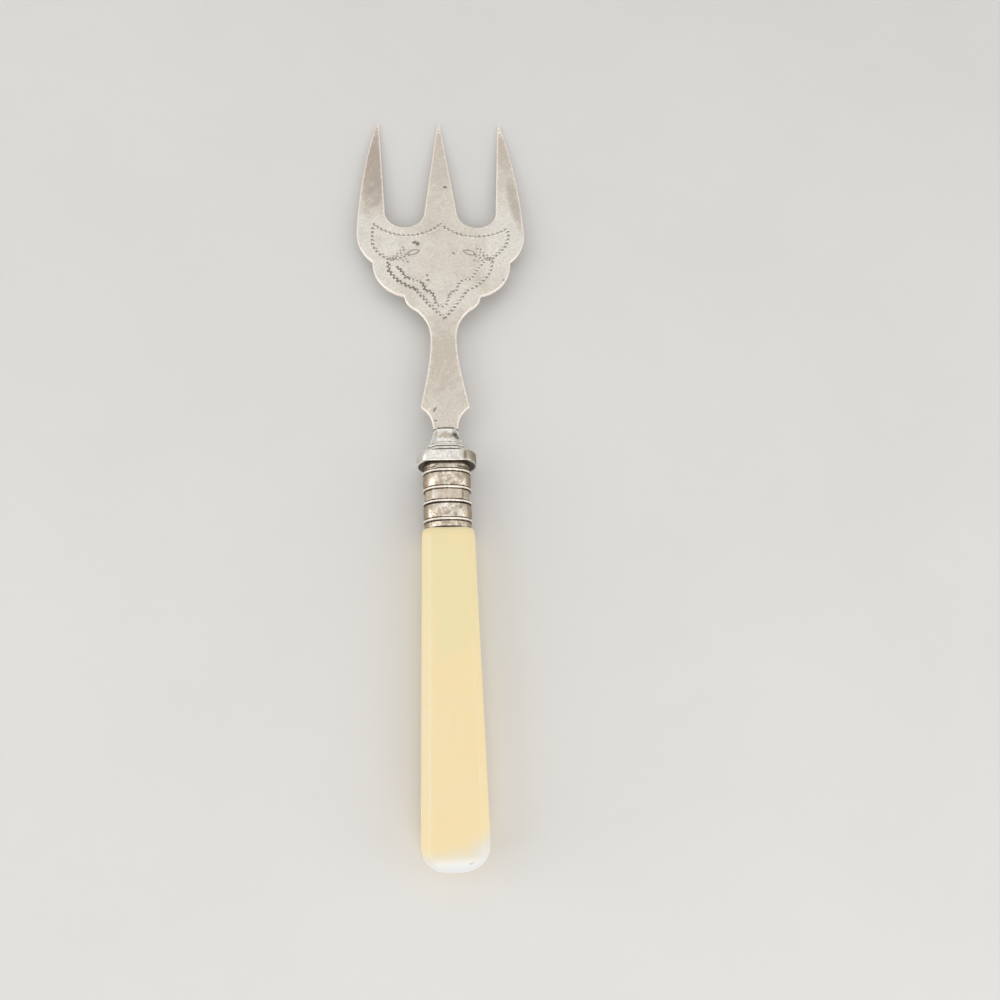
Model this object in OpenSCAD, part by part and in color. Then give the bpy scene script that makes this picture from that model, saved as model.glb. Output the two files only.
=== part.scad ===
// Three-tined serving fork lying face up: plated blade, cast bolster, ribbed ferrule and bevelled handle.
// X runs across the fork, +Y towards the tines, +Z up out of the engraved face.

/* [Blade plan] */
// Length of the blade from the bolster to the tine tips
blade_len = 108.4; // [90:0.2:125]
// Width where the blade meets the bolster
blade_foot_w = 6.7; // [6:0.1:7.4]
// Width across the pair of points above the foot
flare_w = 13.2; // [11:0.1:16]
// Height of those points above the foot
flare_y = 7.1; // [5.5:0.1:8]
// Width of the stem at its narrowest
waist_w = 7.2; // [6:0.1:8.5]
// Height of the narrowest place above the foot
waist_y = 28; // [22:0.5:30]
// Width where the stem opens into the palm
throat_w = 14.8; // [12:0.2:18]
// Height of that place above the foot
throat_y = 37.4; // [34:0.1:38.5]
// Width across the lower pair of notches
low_notch_w = 21.2; // [19:0.2:24]
// Height of the lower notches above the foot
low_notch_y = 40.8; // [39:0.1:42]
// Width across the upper pair of notches
high_notch_w = 40; // [36:0.2:43]
// Height of the upper notches above the foot
high_notch_y = 52.6; // [48:0.2:54]
// Height of the step in each notch
notch_step = 1.5; // [0.8:0.1:2.5]
// Radius of the scallop between the notches
scallop_r = 11.5; // [9:0.5:20]
// Width of the palm at its widest
palm_w = 49.6; // [46:0.2:56]
// Height of the widest place above the foot
palm_y = 65; // [60:0.5:72]
// Radius of the shoulder between the upper notch and the widest place
shoulder_r = 13.5; // [10:0.5:25]

/* [Tines] */
// Height of the roots of the gaps above the foot
root_y = 66.6; // [60:0.1:75]
// Distance of each gap from the middle line
gap_x = 10.75; // [9.5:0.05:12]
// Radius of the round root of each gap
gap_r = 5.9; // [4.5:0.1:6.5]
// Distance of the outer tips from the middle line
tip_x = 19.2; // [17:0.1:21]
// Radius of the rounded tips
tip_r = 0.4; // [0.3:0.05:0.8]
// Radius of the bowed outer edge of the outer tines
tine_bow_r = 220; // [140:5:400]

/* [Blade section] */
// Thickness of the plate at the foot
foot_t = 1.2; // [1:0.1:1.6]
// Thickness of the plate at the tine tips
tip_t = 0.7; // [0.5:0.1:0.9]
// Width of the tenon that sits in the bolster
tenon_w = 4; // [3:0.1:4.8]
// Thickness of the tenon
tenon_t = 0.8; // [0.5:0.1:0.9]
// Length of the tenon
tenon_len = 3.2; // [2:0.1:4.5]

/* [Bolster] */
// Length of the cone from the collar to the blade
cone_len = 7.1; // [5.5:0.1:9]
// Width of the cone where it meets the blade
neck_w = 6.7; // [6.2:0.1:8]
// Thickness of the cone where it meets the blade
neck_t = 5; // [4.2:0.1:6]
// Width of the cone where it meets the collar
cone_w = 13.2; // [11:0.1:13.6]
// Thickness of the cone where it meets the collar
cone_t = 9.2; // [8:0.1:9.6]
// How hollow the cone's sides are
cone_power = 1.7; // [1:0.1:2.5]
// Width of the collar
collar_w = 15.7; // [14.5:0.1:18]
// Thickness of the collar, which the fork rests on
collar_t = 11; // [10:0.1:13]
// Length of the collar along the fork
collar_len = 3; // [2:0.1:5]
// Width of each rounded shoulder of the collar
collar_cut = 2.6; // [2:0.1:3.2]
// Height of those shoulders
collar_drop = 4.2; // [3:0.1:4.2]
// Bevel round both faces of the collar
collar_bevel = 0.3; // [0.1:0.05:0.6]

/* [Ferrule] */
// Width of the ferrule between its beads
ferrule_w = 12.2; // [11.4:0.1:12.6]
// Thickness of the ferrule between its beads
ferrule_t = 9.4; // [8.8:0.1:9.6]
// How far the flats of its eight-sided band lie below the oval bands
flat_dip = 0.35; // [0.2:0.05:0.5]
// Corner cut of the eight-sided band
ferrule_cut = 2.2; // [1.8:0.1:2.6]
// Rounding of that band's corners
ferrule_round = 0.8; // [0.4:0.1:1.2]
// Wall of the ferrule behind the flats
ferrule_wall = 0.6; // [0.4:0.05:0.8]
// Length of the plain band next to the handle
foot_band = 1.85; // [0.8:0.05:2.5]
// Length of the lower barrel band
low_barrel = 3.9; // [3:0.1:6]
// Length of the eight-sided band
flat_band = 2.8; // [2:0.1:5]
// Length of the upper barrel band
high_barrel = 3.8; // [3:0.1:6]
// Length of the hollow band next to the collar
hollow_band = 1.8; // [1.2:0.1:3]
// Width of each bead
bead_w = 0.9; // [0.6:0.05:1.2]
// Height of each bead
bead_rise = 0.3; // [0.1:0.05:0.4]
// Swelling of the barrel bands
barrel_rise = 0.2; // [0:0.05:0.3]
// Depth of the hollow band
hollow_dip = 0.2; // [0:0.05:0.25]

/* [Handle] */
// Length of the handle below the ferrule
handle_len = 79.6; // [72:0.2:100]
// Width of the handle at the ferrule
handle_top_w = 13.3; // [13.2:0.1:15]
// Width of the handle at the butt
handle_butt_w = 15.8; // [14:0.1:18]
// Thickness of the handle at the ferrule
handle_top_t = 10.5; // [9.8:0.1:11]
// Thickness of the handle at the butt
handle_butt_t = 10.8; // [9.8:0.1:12.5]
// Corner cut along the long edges
handle_cut = 2; // [1.2:0.1:2.6]
// Depth of the rounding of the handle's shoulder
shoulder_round = 0.65; // [0.3:0.05:0.8]
// Length of that rounding along the handle
shoulder_len = 2.4; // [0.5:0.1:4]
// Length of the butt's rounding seen from above
butt_plan = 6.7; // [4:0.1:10]
// Length of the butt's rounding seen from the side
butt_side = 4.6; // [3:0.1:8]
// Squareness of the butt's rounding, 2 is an ellipse
butt_power = 2.3; // [2:0.1:4]
// Length of the spigot inside the ferrule
spigot_len = 12; // [8:0.5:14]

/* [Tang] */
// Diameter of the tang at the bolster
tang_d = 3.6; // [3:0.1:4]
// Diameter of the tang at its point
tang_tip_d = 1.6; // [1:0.1:2.4]
// Length of the tang below the collar
tang_len = 62; // [45:1:78]
// Metal left between the tang's hole and the tenon's slot
web = 1; // [0.6:0.1:1.5]
// Cement round the tang in the handle's bore
cement_t = 0.7; // [0.4:0.05:0.9]
// Room below the point of the tang
bore_end = 3; // [1:0.5:6]

/* [Fits] */
// Gap left for solder or glue in every fixed joint
fit = 0.05; // [0.02:0.01:0.1]

/* [Hidden] */

SILVER = [0.83, 0.83, 0.80];
CAST_SILVER = [0.78, 0.79, 0.80];
TARNISHED = [0.66, 0.62, 0.54];
STEEL = [0.45, 0.45, 0.47];
CREAM = [0.93, 0.86, 0.66];
CEMENT = [0.55, 0.42, 0.27];

BEADS = 4;
ferrule_len = foot_band + low_barrel + flat_band + high_barrel + hollow_band + BEADS * bead_w;
total_len = handle_len + ferrule_len + collar_len + cone_len + blade_len;
butt_y = -total_len / 2;
ferrule_y = butt_y + handle_len;
collar_y = ferrule_y + ferrule_len;
cone_y = collar_y + collar_len;
foot_y = cone_y + cone_len;
axis_z = max(collar_t, handle_butt_t) / 2;

bore_d = tang_d + 2 * cement_t;
tang_bottom_y = collar_y - tang_len;
spigot_y = ferrule_y + spigot_len;
socket_len = collar_len + cone_len - tenon_len - web;
inner_w = ferrule_w - 2 * (flat_dip + ferrule_wall);
inner_t = ferrule_t - 2 * (flat_dip + ferrule_wall);

// How much a corner cut grows when an eight-sided outline grows by one all round
CUT_GROWTH = 2 - sqrt(2);
// Turn of an eight-sided outline at each corner
EIGHTH = 360 / 8;
// Steps of one rounded corner of the ferrule
CORNER_STEPS = 3;
// Steps along each flat of the ferrule
FLAT_STEPS = 4;
// Length of the slope between a bead and the eight-sided band
FLAT_SLOPE = bead_w / 4;
// Place of the eight-sided band, counted from the handle
FLAT_BAND = 2;
// Squareness of the ferrule's oval bands
FERRULE_SQUARENESS = 2.2;
// Steps of a bead's round back
BEAD_STEPS = 4;
// Steps along a barrel or hollow band
BAND_STEPS = 6;
// Steps along each curve of the blade's outline
CURVE_STEPS = 12;
// Steps of the butt's rounding
BUTT_STEPS = 12;
// Steps of the shoulder's rounding
SHOULDER_STEPS = 6;
// Flat left at the very end of the butt
BUTT_FLAT = butt_side / 30;
// Points round the cone
CONE_POINTS = 40;
// Steps along the cone
CONE_STEPS = 10;
// Squareness of the cone's section
CONE_SQUARENESS = 2.6;
// Steps of each shoulder of the collar
COLLAR_STEPS = 8;
// Roundness of those shoulders, 1 is straight and 2 an ellipse
COLLAR_POWER = 1.4;
// Room for cuts to pass the faces that they open
PAST = 1;
// Angles at which the round tips meet their edges
OUTER_TIP_ANGLES = [13, 177];
MIDDLE_TIP_ANGLES = [7, 90];
// Facets of the very large cylinders that curve the blade
CURVE_FACETS = 720;
BORE_FACETS = 64;

function arc(centre, r, from, to, steps = CURVE_STEPS) =
    [for (i = [0:steps]) let (a = from + (to - from) * i / steps) centre + r * [cos(a), sin(a)]];

// Arc from p to q that bulges to the right of the way from p to q
function bow(p, q, r, steps = CURVE_STEPS) =
    let (chord = q - p,
         half = norm(chord) / 2,
         left = [-chord[1], chord[0]] / (2 * half),
         centre = (p + q) / 2 + left * sqrt(max(r * r - half * half, 0)),
         from = atan2(p[1] - centre[1], p[0] - centre[0]),
         turn = 2 * asin(min(half / r, 1)))
    arc(centre, norm(p - centre), from, from + turn, steps);

function bezier(a, b, c, d, steps = CURVE_STEPS) =
    [for (i = [0:steps]) let (t = i / steps, s = 1 - t)
        s * s * s * a + 3 * s * s * t * b + 3 * s * t * t * c + t * t * t * d];

// Angle on a circle of the point that a straight edge from p touches, on the side given as 1 or -1
function touch_angle(p, centre, r, side) =
    let (d = p - centre) atan2(d[1], d[0]) + side * acos(r / norm(d));

// Right half of the blade seen from above, from the foot to the middle tip
function blade_half() =
    let (foot = [blade_foot_w / 2, 0],
         flare = [flare_w / 2, flare_y],
         waist = [waist_w / 2, waist_y],
         throat = [throat_w / 2, throat_y],
         low = [low_notch_w / 2, low_notch_y],
         low_top = low + notch_step * [0.3, 1],
         high = [high_notch_w / 2, high_notch_y],
         high_top = high + notch_step * [0.1, 1],
         wide = [palm_w / 2, palm_y],
         tip = [tip_x, blade_len - tip_r],
         tip_round = arc(tip, tip_r, OUTER_TIP_ANGLES[0], OUTER_TIP_ANGLES[1], 6),
         gap = [gap_x, root_y + gap_r],
         middle = [0, blade_len - tip_r],
         middle_round = arc(middle, tip_r, MIDDLE_TIP_ANGLES[0], MIDDLE_TIP_ANGLES[1], 4),
         right_angle = touch_angle(tip_round[len(tip_round) - 1], gap, gap_r, -1),
         left_angle = touch_angle(middle_round[0], gap, gap_r, 1) - 360,
         cut = flare - foot,
         draw = waist - flare,
         rise = throat - waist,
         lobe = low - throat)
    concat(
        bezier(foot, foot + [0, cut[1] / 2], foot + [cut[0] * 0.3, cut[1] * 0.75], flare),
        bezier(flare, flare + [draw[0] * 0.35, draw[1] * 0.3], waist - [0, draw[1] * 0.35], waist),
        bezier(waist, waist + [0, rise[1] * 0.45], waist + [rise[0] * 0.35, rise[1] * 0.75], throat),
        bezier(throat, throat + [lobe[0] * 0.5, lobe[1] * 0.3], low - [lobe[0] * 0.1, lobe[1] * 0.36], low, 6),
        bow(low_top, high, scallop_r),
        bow(high_top, wide, shoulder_r),
        bow(wide, tip_round[0], tine_bow_r, 16),
        tip_round,
        arc(gap, gap_r, right_angle, left_angle, 24),
        middle_round);

function mirrored(half) = [for (i = [len(half) - 1:-1:0]) if (half[i][0] > 0.001) [-half[i][0], half[i][1]]];

function blade_outline() = let (half = blade_half()) concat(half, mirrored(half));

// Radius of an arc that starts level and drops by d over a run of len
function drop_radius(len, d) = (len * len + d * d) / (2 * d);

// Eight-sided outline with a corner cut, across X and Z
function eight(w, t, cut) =
    let (a = w / 2, b = t / 2)
    [[a, cut - b], [a, b - cut], [a - cut, b], [cut - a, b], [-a, b - cut], [-a, cut - b], [cut - a, -b], [a - cut, -b]];

// The same with rounded corners and a few points along each flat
function soft_eight(w, t, cut, r) =
    let (corners = eight(w, t, cut),
         arcs = [for (k = [0:7]) let (from = EIGHTH * (k - 1),
                                      mid = from + EIGHTH / 2,
                                      centre = corners[k] - r / cos(EIGHTH / 2) * [cos(mid), sin(mid)])
                     arc(centre, r, from, from + EIGHTH, CORNER_STEPS)])
    [for (k = [0:7]) let (last = arcs[k][CORNER_STEPS], next = arcs[(k + 1) % 8][0])
        each concat(arcs[k], [for (i = [1:FLAT_STEPS - 1]) last + (next - last) * i / FLAT_STEPS])];

// Oval whose points lie in the same directions as those of an outline
function oval_on(outline, w, t, n) =
    [for (p = outline) let (way = p / norm(p))
        way * pow(pow(abs(way[0]) * 2 / w, n) + pow(abs(way[1]) * 2 / t, n), -1 / n)];

// Outline of the ferrule's eight-sided band
function ferrule_eight() =
    soft_eight(ferrule_w - 2 * flat_dip, ferrule_t - 2 * flat_dip, ferrule_cut, ferrule_round);

// Outline of its oval bands, grown by a rise all round
function ferrule_ring(rise) =
    oval_on(ferrule_eight(), ferrule_w + 2 * rise, ferrule_t + 2 * rise, FERRULE_SQUARENESS);

function inner_ring(shrink) =
    oval_on(ferrule_eight(), inner_w - 2 * shrink, inner_t - 2 * shrink, FERRULE_SQUARENESS);

function superellipse(w, t, n) =
    [for (i = [0:CONE_POINTS - 1]) let (a = 360 * i / CONE_POINTS, c = cos(a), s = sin(a))
        [sign(c) * w / 2 * pow(abs(c), 2 / n), sign(s) * t / 2 * pow(abs(s), 2 / n)]];

function sum_to(v, n) = n <= 0 ? 0 : v[n - 1] + sum_to(v, n - 1);

// Sides of a solid skinned over rings of equal length, each ring given as [y, outline]
module loft(rings) {
    count = len(rings[0][1]);
    last = len(rings) - 1;
    points = [for (ring = rings) for (p = ring[1]) [p[0], ring[0], p[1]]];
    sides = [for (k = [0:last - 1]) for (i = [0:count - 1])
        let (j = (i + 1) % count, a = k * count + i, b = k * count + j, c = b + count, d = a + count)
        each [[a, b, c], [a, c, d]]];
    near = [for (i = [count - 1:-1:0]) i];
    far = [for (i = [0:count - 1]) last * count + i];
    polyhedron(points, concat([near, far], sides), convexity = 6);
}

// Rod along +Y from y, tapering from d1 to d2
module rod(y, len, d1, d2) {
    translate([0, y, axis_z])
        rotate([-90, 0, 0])
            cylinder(h = len, d1 = d1, d2 = d2, $fn = BORE_FACETS);
}

module on_axis() {
    translate([0, 0, axis_z])
        children();
}

// Very large cylinder across the fork whose top starts level at the foot and drops by d at the tips
module blade_bend(top_z, d) {
    r = drop_radius(blade_len, d);
    translate([0, foot_y, top_z - r])
        rotate([0, 90, 0])
            cylinder(h = 2 * palm_w, r = r, center = true, $fn = CURVE_FACETS);
}

// Box centred on the axis with its near end at y
module axis_box(w, y, len, t) {
    translate([-w / 2, y, axis_z - t / 2])
        cube([w, len, t]);
}

module fork_blade() {
    color(SILVER) {
        intersection() {
            translate([0, foot_y, -PAST])
                linear_extrude(height = axis_z + foot_t + 2 * PAST)
                    polygon(blade_outline());
            difference() {
                blade_bend(axis_z + foot_t / 2, axis_z + foot_t / 2 - tip_t);
                blade_bend(axis_z - foot_t / 2, axis_z - foot_t / 2);
            }
        }
        axis_box(tenon_w, foot_y - tenon_len, tenon_len + PAST, tenon_t);
    }
}

// Cone's section at a share u of the way from the collar to the blade
function cone_ring(u) =
    let (open = pow(1 - u, cone_power))
    superellipse(neck_w + (cone_w - neck_w) * open, neck_t + (cone_t - neck_t) * open, CONE_SQUARENESS);

// Collar's outline drawn in by an inset: flat above and below, with a rounded shoulder at each corner
function collar_ring(inset) =
    let (a = collar_w / 2 - inset - collar_cut,
         b = collar_t / 2 - inset - collar_drop,
         bend = 2 / COLLAR_POWER,
         up = [for (i = [0:COLLAR_STEPS]) let (turn = 90 * i / COLLAR_STEPS)
             [a + collar_cut * pow(cos(turn), bend), b + collar_drop * pow(sin(turn), bend)]],
         down = [for (i = [COLLAR_STEPS:-1:0]) up[i]])
    concat(up, [for (p = down) [-p[0], p[1]]], [for (p = up) -p], [for (p = down) [p[0], -p[1]]]);

module collar() {
    b = collar_bevel;
    loft([[collar_y, collar_ring(b)], [collar_y + b, collar_ring(0)],
          [cone_y - b, collar_ring(0)], [cone_y, collar_ring(b)]]);
}

module bolster() {
    color(CAST_SILVER)
        difference() {
            union() {
                on_axis()
                    collar();
                on_axis()
                    loft(concat([[cone_y - collar_len / 2, cone_ring(0)]],
                                [for (i = [0:CONE_STEPS]) [cone_y + cone_len * i / CONE_STEPS,
                                                           cone_ring(i / CONE_STEPS)]]));
            }
            axis_box(tenon_w + 2 * fit, foot_y - tenon_len - fit, tenon_len + fit + PAST, tenon_t + 2 * fit);
            rod(collar_y - PAST, socket_len + PAST, tang_d + 2 * fit, tang_d + 2 * fit);
        }
}

// Tang's straight root and tapering spike, grown all round by a clearance
module tang_shape(grow) {
    rod(spigot_y, collar_y - spigot_y + socket_len - fit, tang_d + 2 * grow, tang_d + 2 * grow);
    rod(tang_bottom_y, spigot_y - tang_bottom_y, tang_tip_d + 2 * grow, tang_d + 2 * grow);
}

module tang() {
    color(STEEL)
        tang_shape(0);
}

// Ferrule's outer sections from the handle to the collar, as [y, outline]
function wave(y, len, rise, steps) =
    [for (i = [0:steps - 1]) [y + len * i / steps, ferrule_ring(rise * sin(180 * i / steps))]];

function flats(y, len) =
    [[y, ferrule_ring(0)], [y + FLAT_SLOPE, ferrule_eight()], [y + len - FLAT_SLOPE, ferrule_eight()]];

function ferrule_sections() =
    let (bands = [[foot_band, 0], [low_barrel, barrel_rise], [flat_band, 0], [high_barrel, barrel_rise],
                  [hollow_band, -hollow_dip]],
         lengths = [for (band = bands) band[0] + bead_w])
    concat(
        [for (k = [0:len(bands) - 1]) let (y = sum_to(lengths, k), band = bands[k])
            each concat(k == FLAT_BAND ? flats(y, band[0])
                                       : wave(y, band[0], band[1], band[1] == 0 ? 1 : BAND_STEPS),
                        k < BEADS ? wave(y + band[0], bead_w, bead_rise, BEAD_STEPS) : [])],
        [[ferrule_len, ferrule_ring(0)]]);

module ferrule() {
    color(TARNISHED)
        on_axis()
            difference() {
                loft([for (s = ferrule_sections()) [ferrule_y + s[0], s[1]]]);
                loft([[ferrule_y - PAST, inner_ring(0)], [collar_y + PAST, inner_ring(0)]]);
            }
}

// Share of the full size that the butt's rounding leaves at a height y above the butt
function butt_share(y, len) =
    y >= len ? 1 : pow(1 - pow(1 - y / len, butt_power), 1 / butt_power);

function handle_ring(y, inset) =
    let (up = y / handle_len,
         across = butt_share(max(y, BUTT_FLAT), butt_plan),
         through = butt_share(max(y, BUTT_FLAT), butt_side),
         w = (handle_butt_w + (handle_top_w - handle_butt_w) * up) * across - 2 * inset,
         t = (handle_butt_t + (handle_top_t - handle_butt_t) * up) * through - 2 * inset)
    eight(w, t, (handle_cut - CUT_GROWTH * inset) * min(across, through));

module handle() {
    top = handle_len - shoulder_len;
    butt = max(butt_plan, butt_side);
    rings = concat(
        [for (i = [0:BUTT_STEPS]) let (y = butt * (1 - cos(90 * i / BUTT_STEPS))) [y, 0]],
        [for (i = [0:SHOULDER_STEPS]) let (turn = 90 * i / SHOULDER_STEPS)
            [top + shoulder_len * sin(turn), shoulder_round * (1 - cos(turn))]]);
    color(CREAM)
        difference() {
            on_axis() {
                loft([for (r = rings) [butt_y + r[0], handle_ring(r[0], r[1])]]);
                loft([[ferrule_y - PAST, inner_ring(fit)], [spigot_y, inner_ring(fit)]]);
            }
            rod(tang_bottom_y - bore_end, spigot_y + PAST - tang_bottom_y + bore_end, bore_d, bore_d);
        }
}

module tang_cement() {
    color(CEMENT)
        difference() {
            union() {
                on_axis()
                    loft([[spigot_y, inner_ring(fit)], [collar_y, inner_ring(fit)]]);
                rod(tang_bottom_y, spigot_y + PAST - tang_bottom_y, bore_d - 2 * fit, bore_d - 2 * fit);
            }
            tang_shape(fit);
        }
}

fork_blade();
bolster();
tang();
ferrule();
handle();
tang_cement();
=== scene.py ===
"""Looks of a three-tined serving fork: plated blade, cast bolster, ribbed ferrule and cream handle.

Sizes are in millimetres in the part's own frame, with X across the fork, +Y towards the tines and
+Z up out of the engraved face. Meshes are made in metres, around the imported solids.
"""

import logging
import math
from dataclasses import dataclass, replace
from enum import Enum
from typing import Any

import bmesh
import bpy
import numpy as np
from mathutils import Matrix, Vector
from mathutils.geometry import delaunay_2d_cdt


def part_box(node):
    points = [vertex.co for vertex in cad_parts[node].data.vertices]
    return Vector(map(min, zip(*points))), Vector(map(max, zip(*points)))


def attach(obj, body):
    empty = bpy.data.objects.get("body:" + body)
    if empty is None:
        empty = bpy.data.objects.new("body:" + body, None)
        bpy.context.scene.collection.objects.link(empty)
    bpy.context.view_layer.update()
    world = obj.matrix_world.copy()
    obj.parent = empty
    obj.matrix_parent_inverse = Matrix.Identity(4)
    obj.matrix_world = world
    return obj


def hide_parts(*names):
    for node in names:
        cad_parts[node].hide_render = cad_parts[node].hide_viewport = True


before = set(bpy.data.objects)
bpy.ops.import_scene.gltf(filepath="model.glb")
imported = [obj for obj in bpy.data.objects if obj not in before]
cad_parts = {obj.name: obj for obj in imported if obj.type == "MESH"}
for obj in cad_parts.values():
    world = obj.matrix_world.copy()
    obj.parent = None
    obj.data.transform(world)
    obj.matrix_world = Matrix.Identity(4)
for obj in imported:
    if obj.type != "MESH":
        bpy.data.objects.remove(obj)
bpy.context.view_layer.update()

log = logging.getLogger("serving_fork")

MM = 0.001
BODY = "root"

# Width of the bolster's neck, clearance of a fitted joint, and how far a carving body runs past a face
NECK_W = 6.7
FIT = 0.05
OVERLAP = 1.0

Colour = tuple[float, float, float]
Place = tuple[float, float]
Socket = bpy.types.NodeSocket
Inputs = dict[str, tuple[str, Any]]


class Slot(Enum):
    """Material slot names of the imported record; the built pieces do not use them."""

    BLADE = "plated_blade"
    BOLSTER = "plated_bolster"
    FERRULE = "tarnished_ferrule"
    HANDLE = "cream_handle"


class Carving(Enum):
    """What a second body does to the first."""

    JOIN = "UNION"
    CUT = "DIFFERENCE"


# Node trees


class NodeSheet:
    """Places and links the nodes of one tree."""

    def __init__(self, tree: bpy.types.NodeTree) -> None:
        """Keeps the tree that the nodes go into."""
        self.tree = tree

    def add(self, kind: str, inputs: dict[str | int, Any] | None = None, **settings: Any) -> bpy.types.Node:
        """Adds one node.

        Args:
            kind: Blender's name for the node.
            inputs: Values or sockets for its inputs, by name or number.
            **settings: Properties of the node.

        Returns:
            The new node.
        """
        node = self.tree.nodes.new(kind)
        for name, value in settings.items():
            setattr(node, name, value)
        self.feed(node, inputs or {})
        return node

    def result(self, kind: str, inputs: dict[str | int, Any] | None = None, **settings: Any) -> Socket:
        """Adds one node and returns its first output."""
        return self.add(kind, inputs, **settings).outputs[0]

    def feed(self, node: bpy.types.Node, inputs: dict[str | int, Any]) -> None:
        """Links a node's inputs to sockets, or sets their plain values.

        Args:
            node: The node.
            inputs: Values or sockets, by the input's name or number.
        """
        for key, value in inputs.items():
            if isinstance(value, bpy.types.NodeSocket):
                self.tree.links.new(value, node.inputs[key])
            else:
                node.inputs[key].default_value = value

    def math(self, operation: str, a: Any, b: Any = 0.0, clamp: bool = False) -> Socket:
        """Adds one sum of two values and returns its result."""
        return self.result("ShaderNodeMath", {0: a, 1: b}, operation=operation, use_clamp=clamp)

    def plus(self, a: Any, b: Any) -> Socket:
        """Adds two values."""
        return self.math("ADD", a, b)

    def minus(self, a: Any, b: Any) -> Socket:
        """Takes the second value from the first."""
        return self.math("SUBTRACT", a, b)

    def times(self, a: Any, b: Any) -> Socket:
        """Multiplies two values."""
        return self.math("MULTIPLY", a, b)

    def larger(self, a: Any, b: Any) -> Socket:
        """Keeps the larger of two values."""
        return self.math("MAXIMUM", a, b)

    def vector(self, operation: str, a: Any, b: Any = (0.0, 0.0, 0.0), scale: Any = 1.0) -> Socket:
        """Adds one sum of two vectors, or of a vector and a scale.

        Args:
            operation: Blender's name for the sum.
            a: The first vector.
            b: The second vector, where the sum has one.
            scale: The scale, where the sum has one.

        Returns:
            The result, a plain value for a length or a dot product.
        """
        node = self.add("ShaderNodeVectorMath", {0: a, 1: b, 3: scale}, operation=operation)
        return node.outputs[1 if operation in ("LENGTH", "DOT_PRODUCT") else 0]

    def join(self, x: Any, y: Any, z: Any) -> Socket:
        """Makes a vector of three values."""
        return self.result("ShaderNodeCombineXYZ", {"X": x, "Y": y, "Z": z})

    def parts(self, vector: Socket) -> dict[str, Socket]:
        """Takes a vector apart into X, Y and Z."""
        return {s.name: s for s in self.add("ShaderNodeSeparateXYZ", {0: vector}).outputs}

    def noise(self, at: Any, scale: Any, detail: Any, rough: float = 0.5, distortion: float = 0.0) -> Socket:
        """Adds a cloudy noise.

        Args:
            at: Where it is read.
            scale: Its scale.
            detail: How many finer layers it has.
            rough: Share of the finer layers.
            distortion: How far it is stirred.

        Returns:
            Its value, about 0.5 on average.
        """
        return self.add("ShaderNodeTexNoise", {
            "Vector": at, "Scale": scale, "Detail": detail, "Roughness": rough,
            "Distortion": distortion}).outputs["Fac"]

    def ramp(self, value: Any, low: Any, high: Any, to_low: Any = 0.0, to_high: Any = 1.0) -> Socket:
        """Eases a value from one range into another.

        Args:
            value: The value that varies.
            low: Where the range starts.
            high: Where the range ends.
            to_low: What the start becomes.
            to_high: What the end becomes.

        Returns:
            The eased value.
        """
        inputs = {0: value, 1: low, 2: high, 3: to_low, 4: to_high}
        return self.result("ShaderNodeMapRange", inputs, interpolation_type="SMOOTHSTEP")

    def coats(self, colour: Any, *layers: tuple[Any, Any]) -> Socket:
        """Lays colours over one another, given as sockets or as linear RGB.

        Args:
            colour: The lowest colour.
            *layers: Share and colour of each coat, from the lowest up.

        Returns:
            The mixed colour.
        """
        for share, coat in layers:
            pair = [c if isinstance(c, bpy.types.NodeSocket) else (*c, 1.0) for c in (colour, coat)]
            mix = self.add("ShaderNodeMix", {0: share, 6: pair[0], 7: pair[1]}, data_type="RGBA")
            colour = mix.outputs[2]
        return colour


class NodeGroup(NodeSheet):
    """A node group with named inputs and one output."""

    def __init__(self, name: str, kind: str, inputs: Inputs, output: tuple[str, str]) -> None:
        """Opens the group.

        Args:
            name: Name of the group.
            kind: Blender's name for its tree.
            inputs: Kind and first value of each input, by name.
            output: Name and kind of the output.
        """
        super().__init__(bpy.data.node_groups.new(name, kind))
        for label, (sort, value) in inputs.items():
            socket = self.tree.interface.new_socket(label, in_out="INPUT", socket_type=f"NodeSocket{sort}")
            if value is not None:
                socket.default_value = value
        label, sort = output
        self.tree.interface.new_socket(label, in_out="OUTPUT", socket_type=f"NodeSocket{sort}")
        self.given = {s.name: s for s in self.add("NodeGroupInput").outputs if s.name}

    def close(self, result: Socket) -> bpy.types.NodeTree:
        """Gives the group its result and returns its tree."""
        self.add("NodeGroupOutput", {0: result})
        return self.tree


class ShapeTree(NodeGroup):
    """A Geometry Nodes group that shapes a piece through a modifier."""

    def __init__(self, name: str, inputs: Inputs, output: str) -> None:
        """Opens the group with its inputs and the name of the shape that it gives."""
        super().__init__(name, "GeometryNodeTree", inputs, (output, "Geometry"))

    def carried(self, name: str) -> Socket:
        """Reads a value that the mesh or line carries."""
        return self.add("GeometryNodeInputNamedAttribute", {"Name": name}).outputs["Attribute"]

    def attach(self, piece: bpy.types.Object, name: str, values: dict[str, Any]) -> None:
        """Adds the tree to a piece, as a modifier that settle() makes plain.

        Args:
            piece: The piece.
            name: Name of the modifier.
            values: The inputs by their names, each set through its identifier.
        """
        modifier = piece.modifiers.new(name, "NODES")
        modifier.node_group = self.tree
        for item in self.tree.interface.items_tree:
            if item.in_out == "INPUT" and item.name in values:
                modifier[item.identifier] = values[item.name]


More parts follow.
